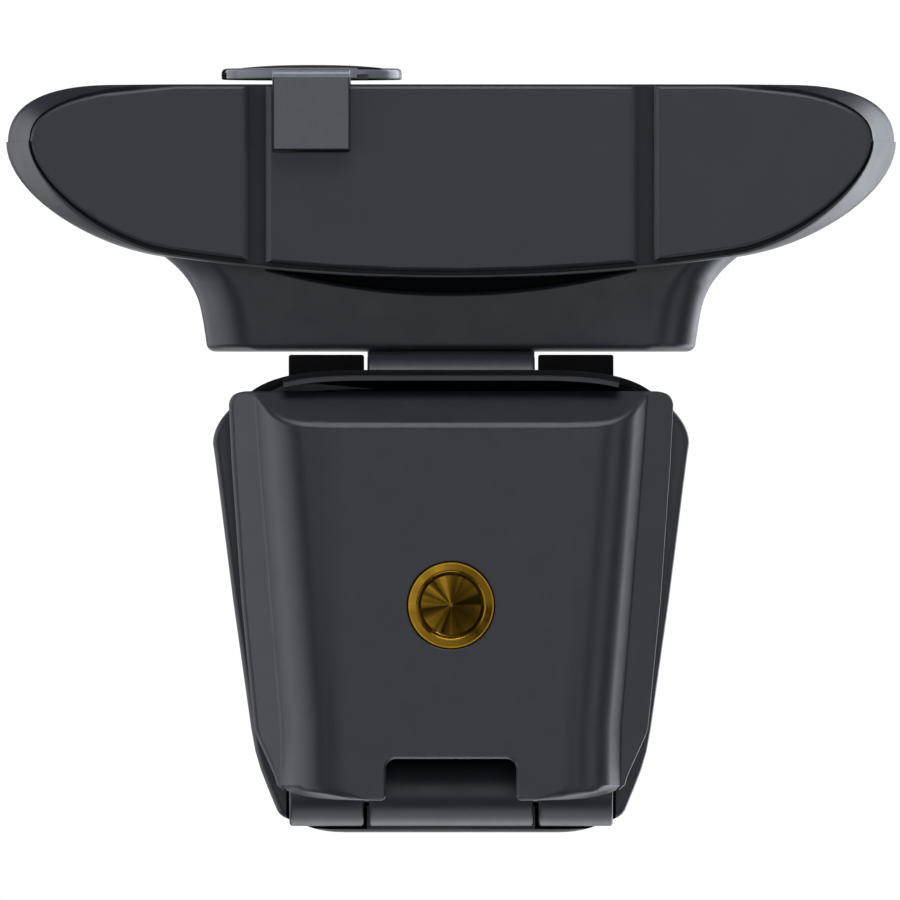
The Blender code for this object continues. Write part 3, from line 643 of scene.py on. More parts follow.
def glass_coated():
    """Optical glass with a magenta-green anti-reflection coat over a dark barrel."""
    material, tree, shader, place = new_finish("glass_coated")
    if tree is None:
        return material
    rim = add(tree, "LayerWeight", {"Blend": 0.35}).outputs["Facing"]
    coat = add(tree, "Mix", {"Factor": rim, "A": shade("1c1430"), "B": shade("20463c")}, data_type="RGBA")
    haze = add(tree, "TexNoise", {"Vector": place, "Scale": per_mm(3.0), "Detail": 2.0})
    gloss = add(tree, "MapRange", {"Value": haze, "To Min": 0.01, "To Max": 0.04})
    connect(tree, shader, {"Base Color": coat, "Roughness": gloss, "IOR": 1.52, "Transmission Weight": 0.55,
                           "Coat Weight": 0.5, "Coat Tint": (0.75, 0.6, 1.0, 1.0)})
    return material


def solder_mask():
    """Glass-epoxy board under green solder mask: faint copper tracks show through a semi-gloss film."""
    material, tree, shader, place = new_finish("fr4_green_solder_mask")
    if tree is None:
        return material
    tracks = add(tree, "TexBrick", {"Vector": place, "Scale": per_mm(3.0), "Mortar Size": 0.04,
                                    "Color1": shade("0f4a2a"), "Color2": shade("125232"),
                                    "Mortar": shade("2c7a4a")})
    weave = add(tree, "TexNoise", {"Vector": place, "Scale": per_mm(0.4)})
    bump = add(tree, "Bump", {"Height": weave, "Strength": 0.3, "Distance": 5e-6})
    connect(tree, shader, {"Base Color": tracks, "Normal": bump, "Roughness": 0.35})
    return material


# --- the head's common shapes ---
WING_FRONT_X = 32.4            # the front face is straight up to here
WING_ROOT = (28.0, -18.25)     # where the wing flows into the housing
REAR_ARC_Y = -16.0             # rear edge of the bar on the centre line
HOUSING_BOTTOM = BOTTOM + 4.0
HOUSING_TOP = TOP - 4.0
HOUSING_HALF = 23.15


def tip_weight(x):
    """0 along the middle of the bar, 1 at its tips."""
    return max(0.0, min(1.0, (abs(x) - 27.0) / 15.0)) ** 1.2


def bar_outline(steps=18):
    tip = (HALF_WIDTH, TIP_Y)
    half = [(0.0, FRONT), (14.0, FRONT), (26.0, FRONT), (WING_FRONT_X, FRONT)]
    half += bezier(half[-1], (39.2, FRONT), (HALF_WIDTH, -32.2), tip, steps)
    half += bezier(tip, (HALF_WIDTH, -24.4), (35.2, -19.5), WING_ROOT, steps)
    sag = REAR_ARC_Y - WING_ROOT[1]
    for step in range(steps - 1, -1, -1):
        share = step / steps
        half.append((WING_ROOT[0] * share, REAR_ARC_Y - sag * share * share))
    return mirrored(half)


def bar_body(shrink=0.0):
    """The head's bar: crisp edge along the front, large rounds at the tips."""
    outline = bar_outline()
    rings = []
    steps = 9
    turns = [90.0 * i / steps for i in range(steps + 1)]
    for side, base in ((1.0, BOTTOM), (-1.0, TOP)):
        for turn in turns if side > 0 else turns[::-1]:
            lean = 1.0 - math.sin(math.radians(turn))
            rise = 1.0 - math.cos(math.radians(turn))

            def inset(x, y, lean=lean, rise=rise):
                weight = tip_weight(x)
                taper = lean + (1.0 - rise ** 1.15 - lean) * weight
                return shrink * weight + (0.1 + (size("tip_inset") - 0.1) * weight) * taper

            ring = []
            for (x, y), (px, _) in zip(offset(outline, inset), outline):
                height = 0.4 + (size("tip_round") - 0.4) * tip_weight(px)
                ring.append((x, y, base + side * height * rise))
            rings.append(ring)
    return loft(rings)


def panel_inset(extra):
    def inset(x, y):
        weight = tip_weight(x)
        edge = 0.12 + 2.2 * weight if y < TIP_Y else 0.6 + 1.72 * weight
        return edge + extra
    return inset


def recess_inset(x, y):
    weight = tip_weight(x)
    return 2.55 * weight - 0.3 if y < TIP_Y else 0.24 + 1.98 * weight


def panel_recess():
    plan = offset(bar_outline(), recess_inset)
    return prism(plan, BOTTOM - 1.0, BOTTOM + 0.95)


# Polygons of the groove floors, which get painted shade.
def painted_shade_floor(place, lean):
    return lean.z < -0.9 and abs(place.z - BOTTOM - 0.95) < 0.05


def head_cavity():
    plan = offset(bar_outline(6), lambda x, y: 2.0 + 1.4 * tip_weight(x))
    return prism(plan, BOTTOM + 2.9, TOP - 1.8)


def housing_body():
    """Rear housing: rounded block flaring into the wings."""
    radius = size("housing_round")
    stations = [(30.0, -20.0)] + bezier((30.0, -20.0), (27.7, -18.4), (24.3, -16.8), (23.6, -12.7), 18)
    stations += [(23.4, -11.6), (23.25, -10.6), (HOUSING_HALF, HOUSING_REAR - 0.8)]
    rings = []
    for inset, rise in quarter(0.8, 5)[::-1]:
        stations.append((HOUSING_HALF - inset, HOUSING_REAR - rise))
    last = None
    for half, y in stations:
        if last is not None and abs(last - y) < 0.01:
            continue
        last = y
        shrink = max(0.0, HOUSING_HALF - half)
        section = rounded_box(half, HOUSING_BOTTOM + shrink, HOUSING_TOP - shrink, radius, 9)
        rings.append([(x, y, z) for x, z in section])
    return loft(rings)


# --- operators ---
class WEBCAM_OT_rear_shell(bpy.types.Operator):
    """Rear shell: the wings, the rounded housing and its bosses"""
    bl_idname = "webcam.rear_shell"
    bl_label = "Rear shell"

    def execute(self, context):
        wall = 1.8
        shell = cut(bar_body(), block((-PAST, -PAST, 0), (PAST, TIP_Y, PAST)))
        shell = join(shell, housing_body())
        inner = rounded_box(HOUSING_HALF - 2.25, HOUSING_BOTTOM + wall, HOUSING_TOP - wall, 2.8, 3)
        shell = cut(shell, head_cavity(), prism(inner, -21.0, HOUSING_REAR - wall, "Y"), panel_recess())
        screws = ["board_screw_" + row + side for row in ("lower", "upper") for side in ("_left", "_right")]
        shell = bosses(shell, screws, (0, 2), 2.0, (-19.4, HOUSING_REAR - 1.2), 1.0, (-20.0, -15.0), "Y")
        half, front, rear, sag, edge = 17.2, -17.25, -14.65, 2.3, 0.55
        trench = [(-half, front), (half, front)]
        trench += [(half * i / 8.0, rear - sag * (i / 8.0) ** 2) for i in range(8, -9, -1)]
        trench_top = HOUSING_BOTTOM + 1.2
        shell = cut(shell, prism(trench, HOUSING_BOTTOM - 0.02, trench_top, "Z", -edge, steps=6))
        window = rounded_box(TONGUE + 0.3, 26.2, 32.8, 0.5, 3)
        shell = cut(shell, prism(window, -12.0, -8.0, "Y"), rod(2.5, -12, -8, (0, 0, GLAND_Z), "Y", 40))
        thing = piece("rear_shell_moulding", shell, abs_spark_eroded(), "head", "rear_shell")
        # Painted shade: the trench floor behind the bar takes the near-black finish.
        second_finish(thing, abs_painted_shade(), lambda place, lean: lean.z < -0.5 and place.y < -13.0
                      and abs(place.z - trench_top) < 0.1)
        # Painted shade: the groove floors take the darker coarse finish.
        second_finish(thing, abs_coarse_etched_painted_shade(), painted_shade_floor)
        return {"FINISHED"}


class WEBCAM_OT_front_bezel(bpy.types.Operator):
    """Front bezel: the shallow half of the head that frames the face panel"""
    bl_idname = "webcam.front_bezel"
    bl_label = "Front bezel"

    def execute(self, context):
        step_at_tips = 0.16
        shell = cut(bar_body(step_at_tips), block((-PAST, TIP_Y, 0), (PAST, PAST, PAST)), head_cavity(),
                    panel_recess())
        seat = prism(rounded_box(33.3, LENS_Z - 9.8, LENS_Z + 9.8, 9.0, 14), -36.0, -32.9, "Y")
        window = prism(rounded_box(31.0, LENS_Z - 7.5, LENS_Z + 7.5, 7.0, 10), -34.0, -31.0, "Y")
        thing = piece("front_bezel_moulding", cut(shell, seat, window), abs_spark_eroded(), "head",
                      "front_bezel")
        # Painted shade: the groove floors take the darker coarse finish.
        second_finish(thing, abs_coarse_etched_painted_shade(), painted_shade_floor)
        return {"FINISHED"}


class WEBCAM_OT_underside_panels(bpy.types.Operator):
    """Three flat panels under the head, with the sloping shoulders of the two grooves"""
    bl_idname = "webcam.underside_panels"
    bl_label = "Underside panels"

    def execute(self, context):
        inner = size("groove_inner")
        outer = size("groove_outer")
        slope = size("groove_slope")
        spans = {"left": (-PAST, -outer), "center": (-inner, inner), "right": (outer, PAST)}
        # distance inside the outline, depth above the underside, share of the groove's shoulder
        levels = ((0.40, 0.0, 0.0), (0.27, 0.04, 0.15), (0.14, 0.12, 0.4), (0.05, 0.24, 0.7), (0.0, 0.4, 1.0),
                  (0.0, 0.75, 1.0))
        for side, (low, high) in spans.items():
            rings = []
            for inset, depth, share in levels:
                wide = [limit + math.copysign(slope * share, limit) * (1.0 if side == "center" else -1.0)
                        if abs(limit) < PAST else limit for limit in (low, high)]
                face = clip_outline(offset(bar_outline(), panel_inset(inset)), *wide, slope * share + 0.06)
                rings.append([(x, y, BOTTOM + depth) for x, y in face])
            if len({len(ring) for ring in rings}) != 1:
                raise RuntimeError("panel rings differ on the " + side)
            piece("underside_panel_" + side + "_plate", loft(rings), abs_fine_etched(), "head",
                  "underside_panel_" + side, 24.0)
        return {"FINISHED"}


class WEBCAM_OT_face_panel(bpy.types.Operator):
    """Polished face panel with its lens, light and microphone holes"""
    bl_idname = "webcam.face_panel"
    bl_label = "Face panel"

    def execute(self, context):
        low, high = box_mm("front_panel")
        outline = rounded_box(high[0], low[2], high[2], 8.7, 16)
        panel = prism(outline, low[1], high[1], "Y", edge_low=0.3)
        for x, radius in ((0.0, 6.2), (LED_X, 0.75), (MIC_X, 0.55), (-MIC_X, 0.55)):
            panel = cut(panel, rod(radius, -36, -30, (x, 0, LENS_Z), "Y", 64 if radius > 2 else 28))
            countersink = [(0.0, low[1] - 0.5), (radius + 0.65, low[1] - 0.5), (radius, low[1] + 0.18),
                           (0.0, low[1] + 0.18)]
            panel = cut(panel, lathe(countersink, (x, 0, LENS_Z), "Y", 64 if radius > 2 else 28))
        piece("face_panel_acrylic", panel, acrylic_polished(), "head", "front_panel")
        return {"FINISHED"}


class WEBCAM_OT_lens(bpy.types.Operator):
    """Lens: trim ring with baffle steps, cover glass, barrel and elements"""
    bl_idname = "webcam.lens"
    bl_label = "Lens"

    def execute(self, context):
        axis = (0, 0, LENS_Z)
        trim = [(4.3, -30.6), (6.0, -30.6), (6.0, -34.05)]
        trim += [(6.0 - 0.2 + 0.2 * math.cos(t), -34.1 - 0.2 * math.sin(t)) for t in (0.5, 1.05, 1.57)]
        trim += [(5.35, -34.3), (5.22, -34.2), (5.15, -33.95), (5.15, -33.0), (4.75, -33.0)]
        for step in range(5):
            trim += [(4.7 - 0.02 * step, -32.9 + 0.42 * step), (4.35, -32.75 + 0.42 * step)]
        piece("lens_trim_turned", lathe(trim, axis, "Y", 96, closed=True), abs_spark_eroded(), "head",
              "lens_trim_ring")
        cover = [(0, -33.3), (4.75, -33.3), (4.9, -33.45), (4.9, -33.95), (4.75, -34.1), (0, -34.1)]
        piece("lens_cover_disc", lathe(cover, axis, "Y", 96), glass_coated(), "head", "lens_cover_glass")
        barrel = [(2.2, -24.0), (3.45, -24.0), (3.6, -24.15), (3.6, -32.4), (3.45, -32.6), (3.2, -32.6),
                  (3.1, -32.5), (3.1, -30.5), (2.2, -30.5)]
        groove = size("thread_depth") * 0.25
        fine = []
        for (r0, y0), (r1, y1) in zip(barrel, barrel[1:]):
            fine.append((r0, y0))
            if r0 == r1 == 3.6:
                fine += [(3.6 - groove * (k % 2), y0 + (y1 - y0) * k / 24.0) for k in range(1, 24)]
        fine.append(barrel[-1])
        # The barrel takes the coarse finish whose darker colour is painted shade.
        piece("lens_barrel_turned", lathe(fine, axis, "Y", 64, closed=True), abs_coarse_etched_painted_shade(),
              "head", "lens_barrel")
        for node, rear, rim, reach, bulge in (("lens_front_element", -30.9, -31.7, 2.75, -0.6),
                                              ("lens_rear_element", -26.4, -25.4, 1.85, 0.5)):
            dome = [(reach * math.cos(t), rim + bulge * math.sin(t))
                    for t in (math.radians(10 * k) for k in range(9))]
            profile = [(0, rear), (reach, rear)] + dome + [(0, rim + bulge)]
            piece(node + "_ground", lathe(profile, axis, "Y", 64), glass_coated(), "head", node)
        return {"FINISHED"}


class WEBCAM_OT_shutter(bpy.types.Operator):
    """Sliding shutter: hooked strap, round carrier and polished cap"""
    bl_idname = "webcam.shutter"
    bl_label = "Shutter"

    def execute(self, context):
        low, high = CLIP_LOW, CLIP_HIGH
        thick = 0.9          # of the strap
        rear = -34.7
        front = -35.7
        half = 3.68
        corners = [(front, low[2], 0.75), (high[1], low[2], 0.4), (high[1], low[2] + thick, 0.3),
                   (rear, low[2] + thick, 0.0), (rear, high[2] - thick, 0.0), (high[1], high[2] - thick, 0.3),
                   (high[1], high[2], 0.4), (front, high[2], 0.75)]
        strap = prism(filleted(corners, 5), SHUTTER_X - half, SHUTTER_X + half, "X",
                      edge_low=0.2, edge_high=0.2)
        axis = (SHUTTER_X, 0, LENS_Z)
        disc = [(0, rear - 0.15), (8.4, rear - 0.15), (8.5, -34.9), (8.55, -35.02), (8.55, -35.5),
                (8.45, -35.75), (8.2, -35.9), (0, -35.9)]
        strap = join(strap, lathe(disc, axis, "Y", 120))
        strap = cut(strap, rod(7.5, -37.0, -35.35, axis, "Y", 96))
        near, far = SHUTTER_X + 4.3, SHUTTER_X + 6.7
        notch = filleted([(near, -35.3, 0.1), (far, -35.3, 0.1), (far, rear + 0.5, 0.0),
                          (near, rear + 0.5, 0.0)], 2)
        strap = cut(strap, prism(notch, LENS_Z - 9.0, LENS_Z - 6.6))
        thing = piece("shutter_clip_moulding", strap, polycarbonate_satin(), "shutter", "shutter_clip", 30.0)
        # Painted dark reflection on the strap's lower edges, painted bright reflection round the carrier's rim,
        # and painted shade in the notch and on the rim's end towards -x.
        second_finish(thing, polycarbonate_painted_dark_reflection(), lambda place, lean: place.z < CLIP_LOW[2] + 1.2
                      and abs(place.x - SHUTTER_X) < half + 0.1 and abs(lean.z) < 0.99)
        second_finish(thing, polycarbonate_painted_reflection(), lambda place, lean: abs(lean.y) < 0.9
                      and place.y < rear - 0.1 and math.hypot(place.x - SHUTTER_X, place.z - LENS_Z) > 8.3)
        second_finish(thing, abs_painted_shade(), lambda place, lean: place.z < LENS_Z - 5.0
                      and 4.2 < place.x - SHUTTER_X < 6.8 and abs(lean.y) > 0.5
                      or place.x < SHUTTER_X - 8.1 and place.y < rear - 0.1)
        dome = [(0, -35.65), (7.05, -35.65), (7.2, -35.7), (7.2, -35.82)]
        crown = box_mm("shutter_cap")[0][1]
        for k in range(1, 13):
            reach = 7.15 * (1.0 - k / 12.0)
            dome.append((reach, crown + (-35.9 - crown) * (reach / 7.2) ** 2.6))
        piece("shutter_cap_polished", lathe(dome, axis, "Y", 120), acrylic_polished(), "shutter",
              "shutter_cap")
        return {"FINISHED"}


class WEBCAM_OT_neck(bpy.types.Operator):
    """Neck: tilt bracket with its barrel, friction pin and the cable's gland"""
    bl_idname = "webcam.neck"
    bl_label = "Neck"

    def execute(self, context):
        arm_rear = NECK[1] + 1.2
        radius = 3.3
        lift = math.degrees(math.acos((arm_rear - NECK[1]) / radius))
        profile = arc((NECK[1], NECK[2]), radius, 180.0, 360.0 + lift, 40)
        profile += filleted([(arm_rear, 22.0, 0.0), (arm_rear, 32.5, 1.3), (-10.8, 32.5, 0.25),
                             (-10.8, 26.5, 0.25), (-8.7, 26.5, 0.0), (-8.7, 19.0, 0.0)], 5)
        body = prism(profile, -TONGUE, TONGUE, "X", edge_low=0.25, edge_high=0.25)
        body = cut(body, rod(NECK_BORE, -20, 20, NECK, "X", 40))
        for side in ("left", "right"):
            centre = (middle("bracket_screw_" + side, 0), 0, middle("bracket_screw_" + side, 2))
            body = cut(body, rod(1.2, -12, -6.2, centre, "Y", 20))
        piece("tilt_bracket_moulding", body, abs_spark_eroded(), "head", "tilt_bracket")
        low, high = box_mm("neck_pin")
        piece("neck_pin_ground", rod(1.5, low[0], high[0], NECK, "X", 48, 0.2),
              steel_zinc_plated(), "clip_base", "neck_pin")
        gland = [(1.4, -12.6), (2.75, -12.6), (2.9, -12.45), (2.9, -11.35), (2.75, -11.2), (2.2, -11.2),
                 (2.2, -8.8), (2.85, -8.8), (3.0, -8.65)]
        for ring in range(4):
            y = -8.3 + 0.65 * ring
            reach = 2.95 - 0.12 * ring
            gland += [(reach, y), (reach - 0.28, y + 0.12), (reach - 0.28, y + 0.34), (reach - 0.02, y + 0.46)]
        gland += [(2.4, -5.75), (2.2, -5.6), (1.55, -5.6), (1.4, -5.75)]
        gland = lathe(gland, (0, 0, GLAND_Z), "Y", 56, closed=True)
        piece("cable_gland_moulded", gland, silicone_matt(), "head", "cable_gland")
        return {"FINISHED"}


def base_outline():
    half = [(0.0, BASE_FRONT), (8.0, BASE_FRONT)]
    half += bezier(half[-1], (14.5, BASE_FRONT), (17.0, -6.6), (18.8, -5.3), 12)
    half += bezier(half[-1], (20.6, -4.0), (BASE_HIGH[0], -2.4), (BASE_HIGH[0], -0.4), 12)
    half += [(22.2, 0.95), (21.35, 7.7), (20.5, 14.4), (19.65, 20.4), (18.8, 26.45), (18.4, 28.6),
             (17.9, 30.3), (17.2, 32.1), (16.35, 34.15)]
    half += bezier(half[-1], (16.0, 34.8), (15.2, 35.0), (14.4, 35.3), 5)
    half += bezier(half[-1], (13.0, 35.85), (12.0, BASE_REAR), (10.0, BASE_REAR), 6)
    half.append((0.0, BASE_REAR))
    return mirrored(half)


class WEBCAM_OT_base_shell(bpy.types.Operator):
    """Clip base: rounded shell with the front lip, the neck lugs and the hinge knuckle"""
    bl_idname = "webcam.base_shell"
    bl_label = "Base shell"

    def execute(self, context):
        outline = base_outline()
        shell = prism(outline, BASE_BOTTOM, BASE_TOP, "Z", edge_low=0.6, edge_high=1.4, steps=6)
        front = [i for i, point in enumerate(outline) if point[1] < -6.5]
        front = [i for i in front if outline[i][0] < 0.0] + [i for i in front if outline[i][0] >= 0.0]
        inner = offset(outline, 1.0)
        rings = []
        for inset, level in ((0.66, 3.2), (0.6, 3.22), (0.52, 3.35), (0.32, 4.1), (0.14, 4.9), (0.0, 5.8),
                             (0.0, BASE_BOTTOM + 1.5)):
            outer = offset(outline, inset)
            rings.append([outer[i] + (level,) for i in front] + [inner[i] + (level,) for i in reversed(front)])
        shell = join(shell, loft(rings))
        hollow = [point for point in offset(outline, 1.8) if point[1] < 27.0]
        shell = cut(shell, prism(hollow, BASE_BOTTOM - 1.0, BASE_TOP - 1.8))
        for side in (-1.0, 1.0):
            lug = arc((NECK[1], NECK[2]), 3.35, 0.0, 180.0, 28)
            lug += [(NECK[1] - 3.35, BASE_TOP - 1.0), (NECK[1] + 3.35, BASE_TOP - 1.0)]
            low, high = sorted((side * (TONGUE + 0.3), side * 15.3))
            shell = join(shell, prism(lug, low, high, "X", edge_low=0.22, edge_high=0.22))
            low, high = sorted((side * 7.9, side * 15.5))
            shell = cut(shell, rod(3.6, low, high, CLIP, "X", 64))
        shell = join(shell, rod(KNUCKLE, -7.7, 7.7, CLIP, "X", 64, 0.25))
        shell = cut(shell, rod(NECK_BORE, -20, 20, NECK, "X", 40))
        shell = cut(shell, rod(HINGE_BORE, -15.5, 15.5, CLIP, "X", 32))
        screws = ["base_screw_" + corner for corner in CORNERS]
        shell = bosses(shell, screws, (0, 1), 2.0, (11.3, 13.2), 1.1, (11.0, 13.9), "Z")
        thing = piece("base_shell_moulding", shell, abs_spark_eroded(), "clip_base", "base_shell")
        # Painted shade: the neck lugs and the front lip, ahead of y -4.6 mm and above z 3.3 mm, are near-black.
        second_finish(thing, abs_painted_shade(), lambda place, lean: place.y < -4.6 and place.z > 3.3)
        return {"FINISHED"}


def ribbed_pad(outline_half, low_y, high_y, low_z, high_z, ribs, facing):
    """Rubber pad with cross ribs on the face that grips; outline_half(y) is its half width."""
    length = high_y - low_y
    rows = []
    stations = ribs * 4
    for i in range(stations + 1):
        share = i / stations
        y = low_y + length * share
        groove = 0.18 if i % 4 in (2, 3) and 0 < i < stations - 1 else 0.0
        half = outline_half(y)
        edge = 0.5 * (1.0 - math.sqrt(1.0 - (1.0 - min(1.0, min(share, 1.0 - share) * length / 1.5)) ** 2))
        half -= edge * 2.2
        bottom = low_z + (groove if facing < 0 else 0.0)
        top = high_z - (groove if facing > 0 else 0.0)
        soft = 0.12
        rows.append([(-half + soft, y, bottom), (half - soft, y, bottom), (half, y, bottom + soft),
                     (half, y, top - soft), (half - soft, y, top), (-half + soft, y, top),
                     (-half, y, top - soft), (-half, y, bottom + soft)])
    return loft(rows)


class WEBCAM_OT_grip_pads(bpy.types.Operator):
    """Ribbed rubber pads inside the clip's jaw"""
    bl_idname = "webcam.grip_pads"
    bl_label = "Grip pads"

    def execute(self, context):
        low, high = box_mm("base_pad")

        def base_half(y):
            return high[0] - 0.1 - max(0.0, y - low[1] - 3.0) * 0.135 - max(0.0, low[1] + 3.0 - y) * 0.5

        pad = ribbed_pad(base_half, low[1], high[1], low[2], high[2], sizes().pad_ribs, -1)
        piece("base_pad_ribbed", pad, silicone_matt(), "clip_base", "base_pad", 40.0)
        low, high = box_mm("leg_pad")
        span = high[1] - low[1]

        def leg_half(y):
            return 16.8 - 2.6 * (y - low[1]) / span

        pad = ribbed_pad(leg_half, low[1], high[1], low[2], high[2], sizes().pad_ribs, 1)
        piece("leg_pad_ribbed", pad, silicone_matt(), "leg", "leg_pad", 40.0)
        return {"FINISHED"}


# --- the leg's common shape ---
LEG_EDGE = ((-4.0, 21.0), (14.4, 19.7), (26.5, 18.5), (27.4, 18.15), (31.7, 16.2))
LEG_CREASE = ((-4.0, 18.6), (14.4, 17.1), (26.5, 16.1), (31.7, 16.05))
FOOT_FRONT = -2.1
FOOT_SLANT = 3.0


def read_table(table, y):
    for (low, a), (high, b) in zip(table, table[1:]):
        if y <= high:
            return a + (b - a) * (max(y, low) - low) / (high - low)
    return table[-1][1]


def leg_section(y, inset, corner):
    """Half section (x, z): crowned face, rounded shoulder, slope, soft valley, tilted flange and top."""
    valley = size("crease")
    flat = size("foot_flat")
    crease = read_table(LEG_CREASE, y) - inset
    edge = max(read_table(LEG_EDGE, y) - inset - corner, crease + 0.3)
    crown, slope, flange = (math.radians(angle) for angle in (5.0, 63.0, 33.0))
    round_radius = 4.4
    valley_radius = 0.7
    arc_run = round_radius * (math.sin(slope) - math.sin(crown))
    arc_rise = round_radius * (math.cos(crown) - math.cos(slope))
    valley_run = valley_radius * (math.sin(slope) - math.sin(flange))
    valley_rise = valley_radius * (math.cos(flange) - math.cos(slope))
    crown_rise = 0.2
    slope_rise = valley - inset - crown_rise - arc_rise - valley_rise
    shoulder = crease - valley_run - slope_rise / math.tan(slope) - arc_run
    flat = min(flat, shoulder - 0.6) - inset
    points = [(0.0, inset), (flat * 0.5, inset)]
    for i in range(4):
        share = i / 4.0
        points.append((flat + (shoulder - flat) * share, inset + crown_rise * share * share))
    for i in range(15):
        turn = crown + (slope - crown) * i / 14.0
        points.append((shoulder + round_radius * (math.sin(turn) - math.sin(crown)),
                       inset + crown_rise + round_radius * (math.cos(crown) - math.cos(turn))))
    for i in range(6):
        turn = slope + (flange - slope) * i / 5.0
        points.append((crease - valley_run + valley_radius * (math.sin(slope) - math.sin(turn)),
                       valley - valley_rise + valley_radius * (math.cos(turn) - math.cos(slope))))
    soft = min(0.5, (edge - crease) * 0.5)
    low = valley + math.tan(flange) * (edge - soft - crease)
    points.append((edge - soft, low))
    first = math.radians(15.0)
    for i in range(1, 7):
        turn = math.radians(15.0 + 75.0 * i / 6)
        run = (math.sin(turn) - math.sin(first)) / (1.0 - math.sin(first))
        points.append((edge - soft + soft * run, low + 0.5 * (math.cos(first) - math.cos(turn))))
    top_round = 0.25
    points += arc((edge - top_round, LEG_TOP - top_round), top_round, 0.0, 90.0, 4)
    points.append((0.0, LEG_TOP))
    return points


def leg_ring(y, place=None, inset=0.0, squeeze=1.0, corner=0.0):
    half = leg_section(y, inset, corner)
    right = [(x * squeeze, place(z) if place else y, z) for x, z in half]
    left = [(-x, py, z) for x, py, z in reversed(right) if x > 1e-6]
    return right + left


def free_end(z):
    return FOOT_FRONT - FOOT_SLANT * min(z, size("crease") + 0.3) / size("crease")


class WEBCAM_OT_leg_shell(bpy.types.Operator):
    """Leg and foot: bulged outer face, slanted free end, flanges, notch and hinge knuckles"""
    bl_idname = "webcam.leg_shell"
    bl_label = "Leg shell"

    def execute(self, context):
        rings = []
        round_end = 0.45
        corner_round = 1.5
        for inset, rise in quarter(round_end, 5) + [(0.0, 0.65), (0.0, 0.9), (0.0, 1.25)]:
            spread = max(0.0, corner_round - rise)
            corner = corner_round - math.sqrt(max(0.0, corner_round ** 2 - spread * spread))
            rings.append(leg_ring(-4.0 + rise, lambda z, rise=rise: free_end(z) + rise, inset, corner=corner))
        rings += [leg_ring(y) for y in (1.5, 6.0, 10.0, 14.4, 19.0, 23.0, 26.5, 27.4, 28.6, 29.8, 30.9, 31.7)]
        for back, share in ((0.95, 0.965), (0.65, 0.915), (0.4, 0.855), (0.2, 0.78), (0.08, 0.68),
                            (0.0, 0.43)):
            rings.append(leg_ring(LEG_REAR - back, squeeze=share))
        shell = loft(rings)
        floor = 1.8
        widths = [(0.5, 4.0), (14.4, 3.4), (26.0, 3.4)]
        right = [(read_table(LEG_CREASE, y) - wall, y) for y, wall in widths]
        pocket = right + [(-x, y) for x, y in reversed(right)]
        rear = LEG_REAR - 0.02
        notch = filleted([(6.1, 29.2, 0.9), (6.1, rear, 0.55), (9.0, rear, 0.0), (9.0, 38.0, 0.0),
                          (-9.0, 38.0, 0.0), (-9.0, rear, 0.0), (-6.1, rear, 0.55), (-6.1, 29.2, 0.9)], 6)
        shell = cut(shell, prism(notch, -1.0, LEG_TOP + 2.0))
        rim = [[point + (z,) for point in offset(notch, -grow)]
               for z, grow in ((-0.2, 0.42), (0.02, 0.2), (0.1, 0.11), (0.22, 0.03), (0.36, -0.02))]
        shell = cut(shell, loft(rim))
        shell = cut(shell, prism(offset(pocket, 1.0), floor, 4.0), prism(pocket, 3.0, LEG_TOP + 1.0))
        shell = join(shell, rod(6.2, floor - 0.5, 5.0, SOCKET, "Z", 64))
        radius = box_mm("tripod_insert")[1][0] + 0.05
        shell = cut(shell, rod(radius, -1.0, 5.5, SOCKET, "Z", 96))
        mouth = [(0.0, -0.3), (radius + 0.3, -0.3), (radius + 0.16, 0.0), (radius + 0.05, 0.07),
                 (radius, 0.17), (radius - 0.1, 0.17), (0.0, 0.17)]
        shell = cut(shell, lathe(mouth, SOCKET, "Z", 96))
        screws = ["leg_screw_" + corner for corner in CORNERS]
        shell = bosses(shell, screws, (0, 1), 2.2, (floor - 0.3, 5.0), 1.0, (2.2, 6.0), "Z")
        shell = cut(shell, rod(4.3, -15.8, 15.8, CLIP, "X", 72))
        web = [(27.6, 4.3), (31.3, 4.3), (31.3, 7.8), (30.6, 9.8), (29.6, 8.8), (27.6, 5.6)]
        for side in (-1.0, 1.0):
            low, high = sorted((side * 8.2, side * 15.2))
            shell = join(shell, prism(web, low, high, "X"))
            shell = join(shell, rod(KNUCKLE, low, high, CLIP, "X", 64, 0.3))
        shell = cut(shell, rod(HINGE_BORE, -15.5, 15.5, CLIP, "X", 32))
        thing = piece("leg_shell_moulding", shell, abs_spark_eroded(), "leg", "leg_shell")
        # Painted highlight: the downward faces of the flanges, outside the crease, take the paler finish.
        second_finish(thing, abs_painted_flange_highlight(), lambda place, lean: lean.z < -0.6 and place.z > size("crease") - 0.2
                      and abs(place.x) > read_table(LEG_CREASE, place.y) - 0.1)
        low, high = box_mm("clip_pin")
        piece("clip_pin_ground", rod(1.1, low[0], high[0], CLIP, "X", 40, 0.18),
              steel_zinc_plated(), "leg", "clip_pin")
        return {"FINISHED"}


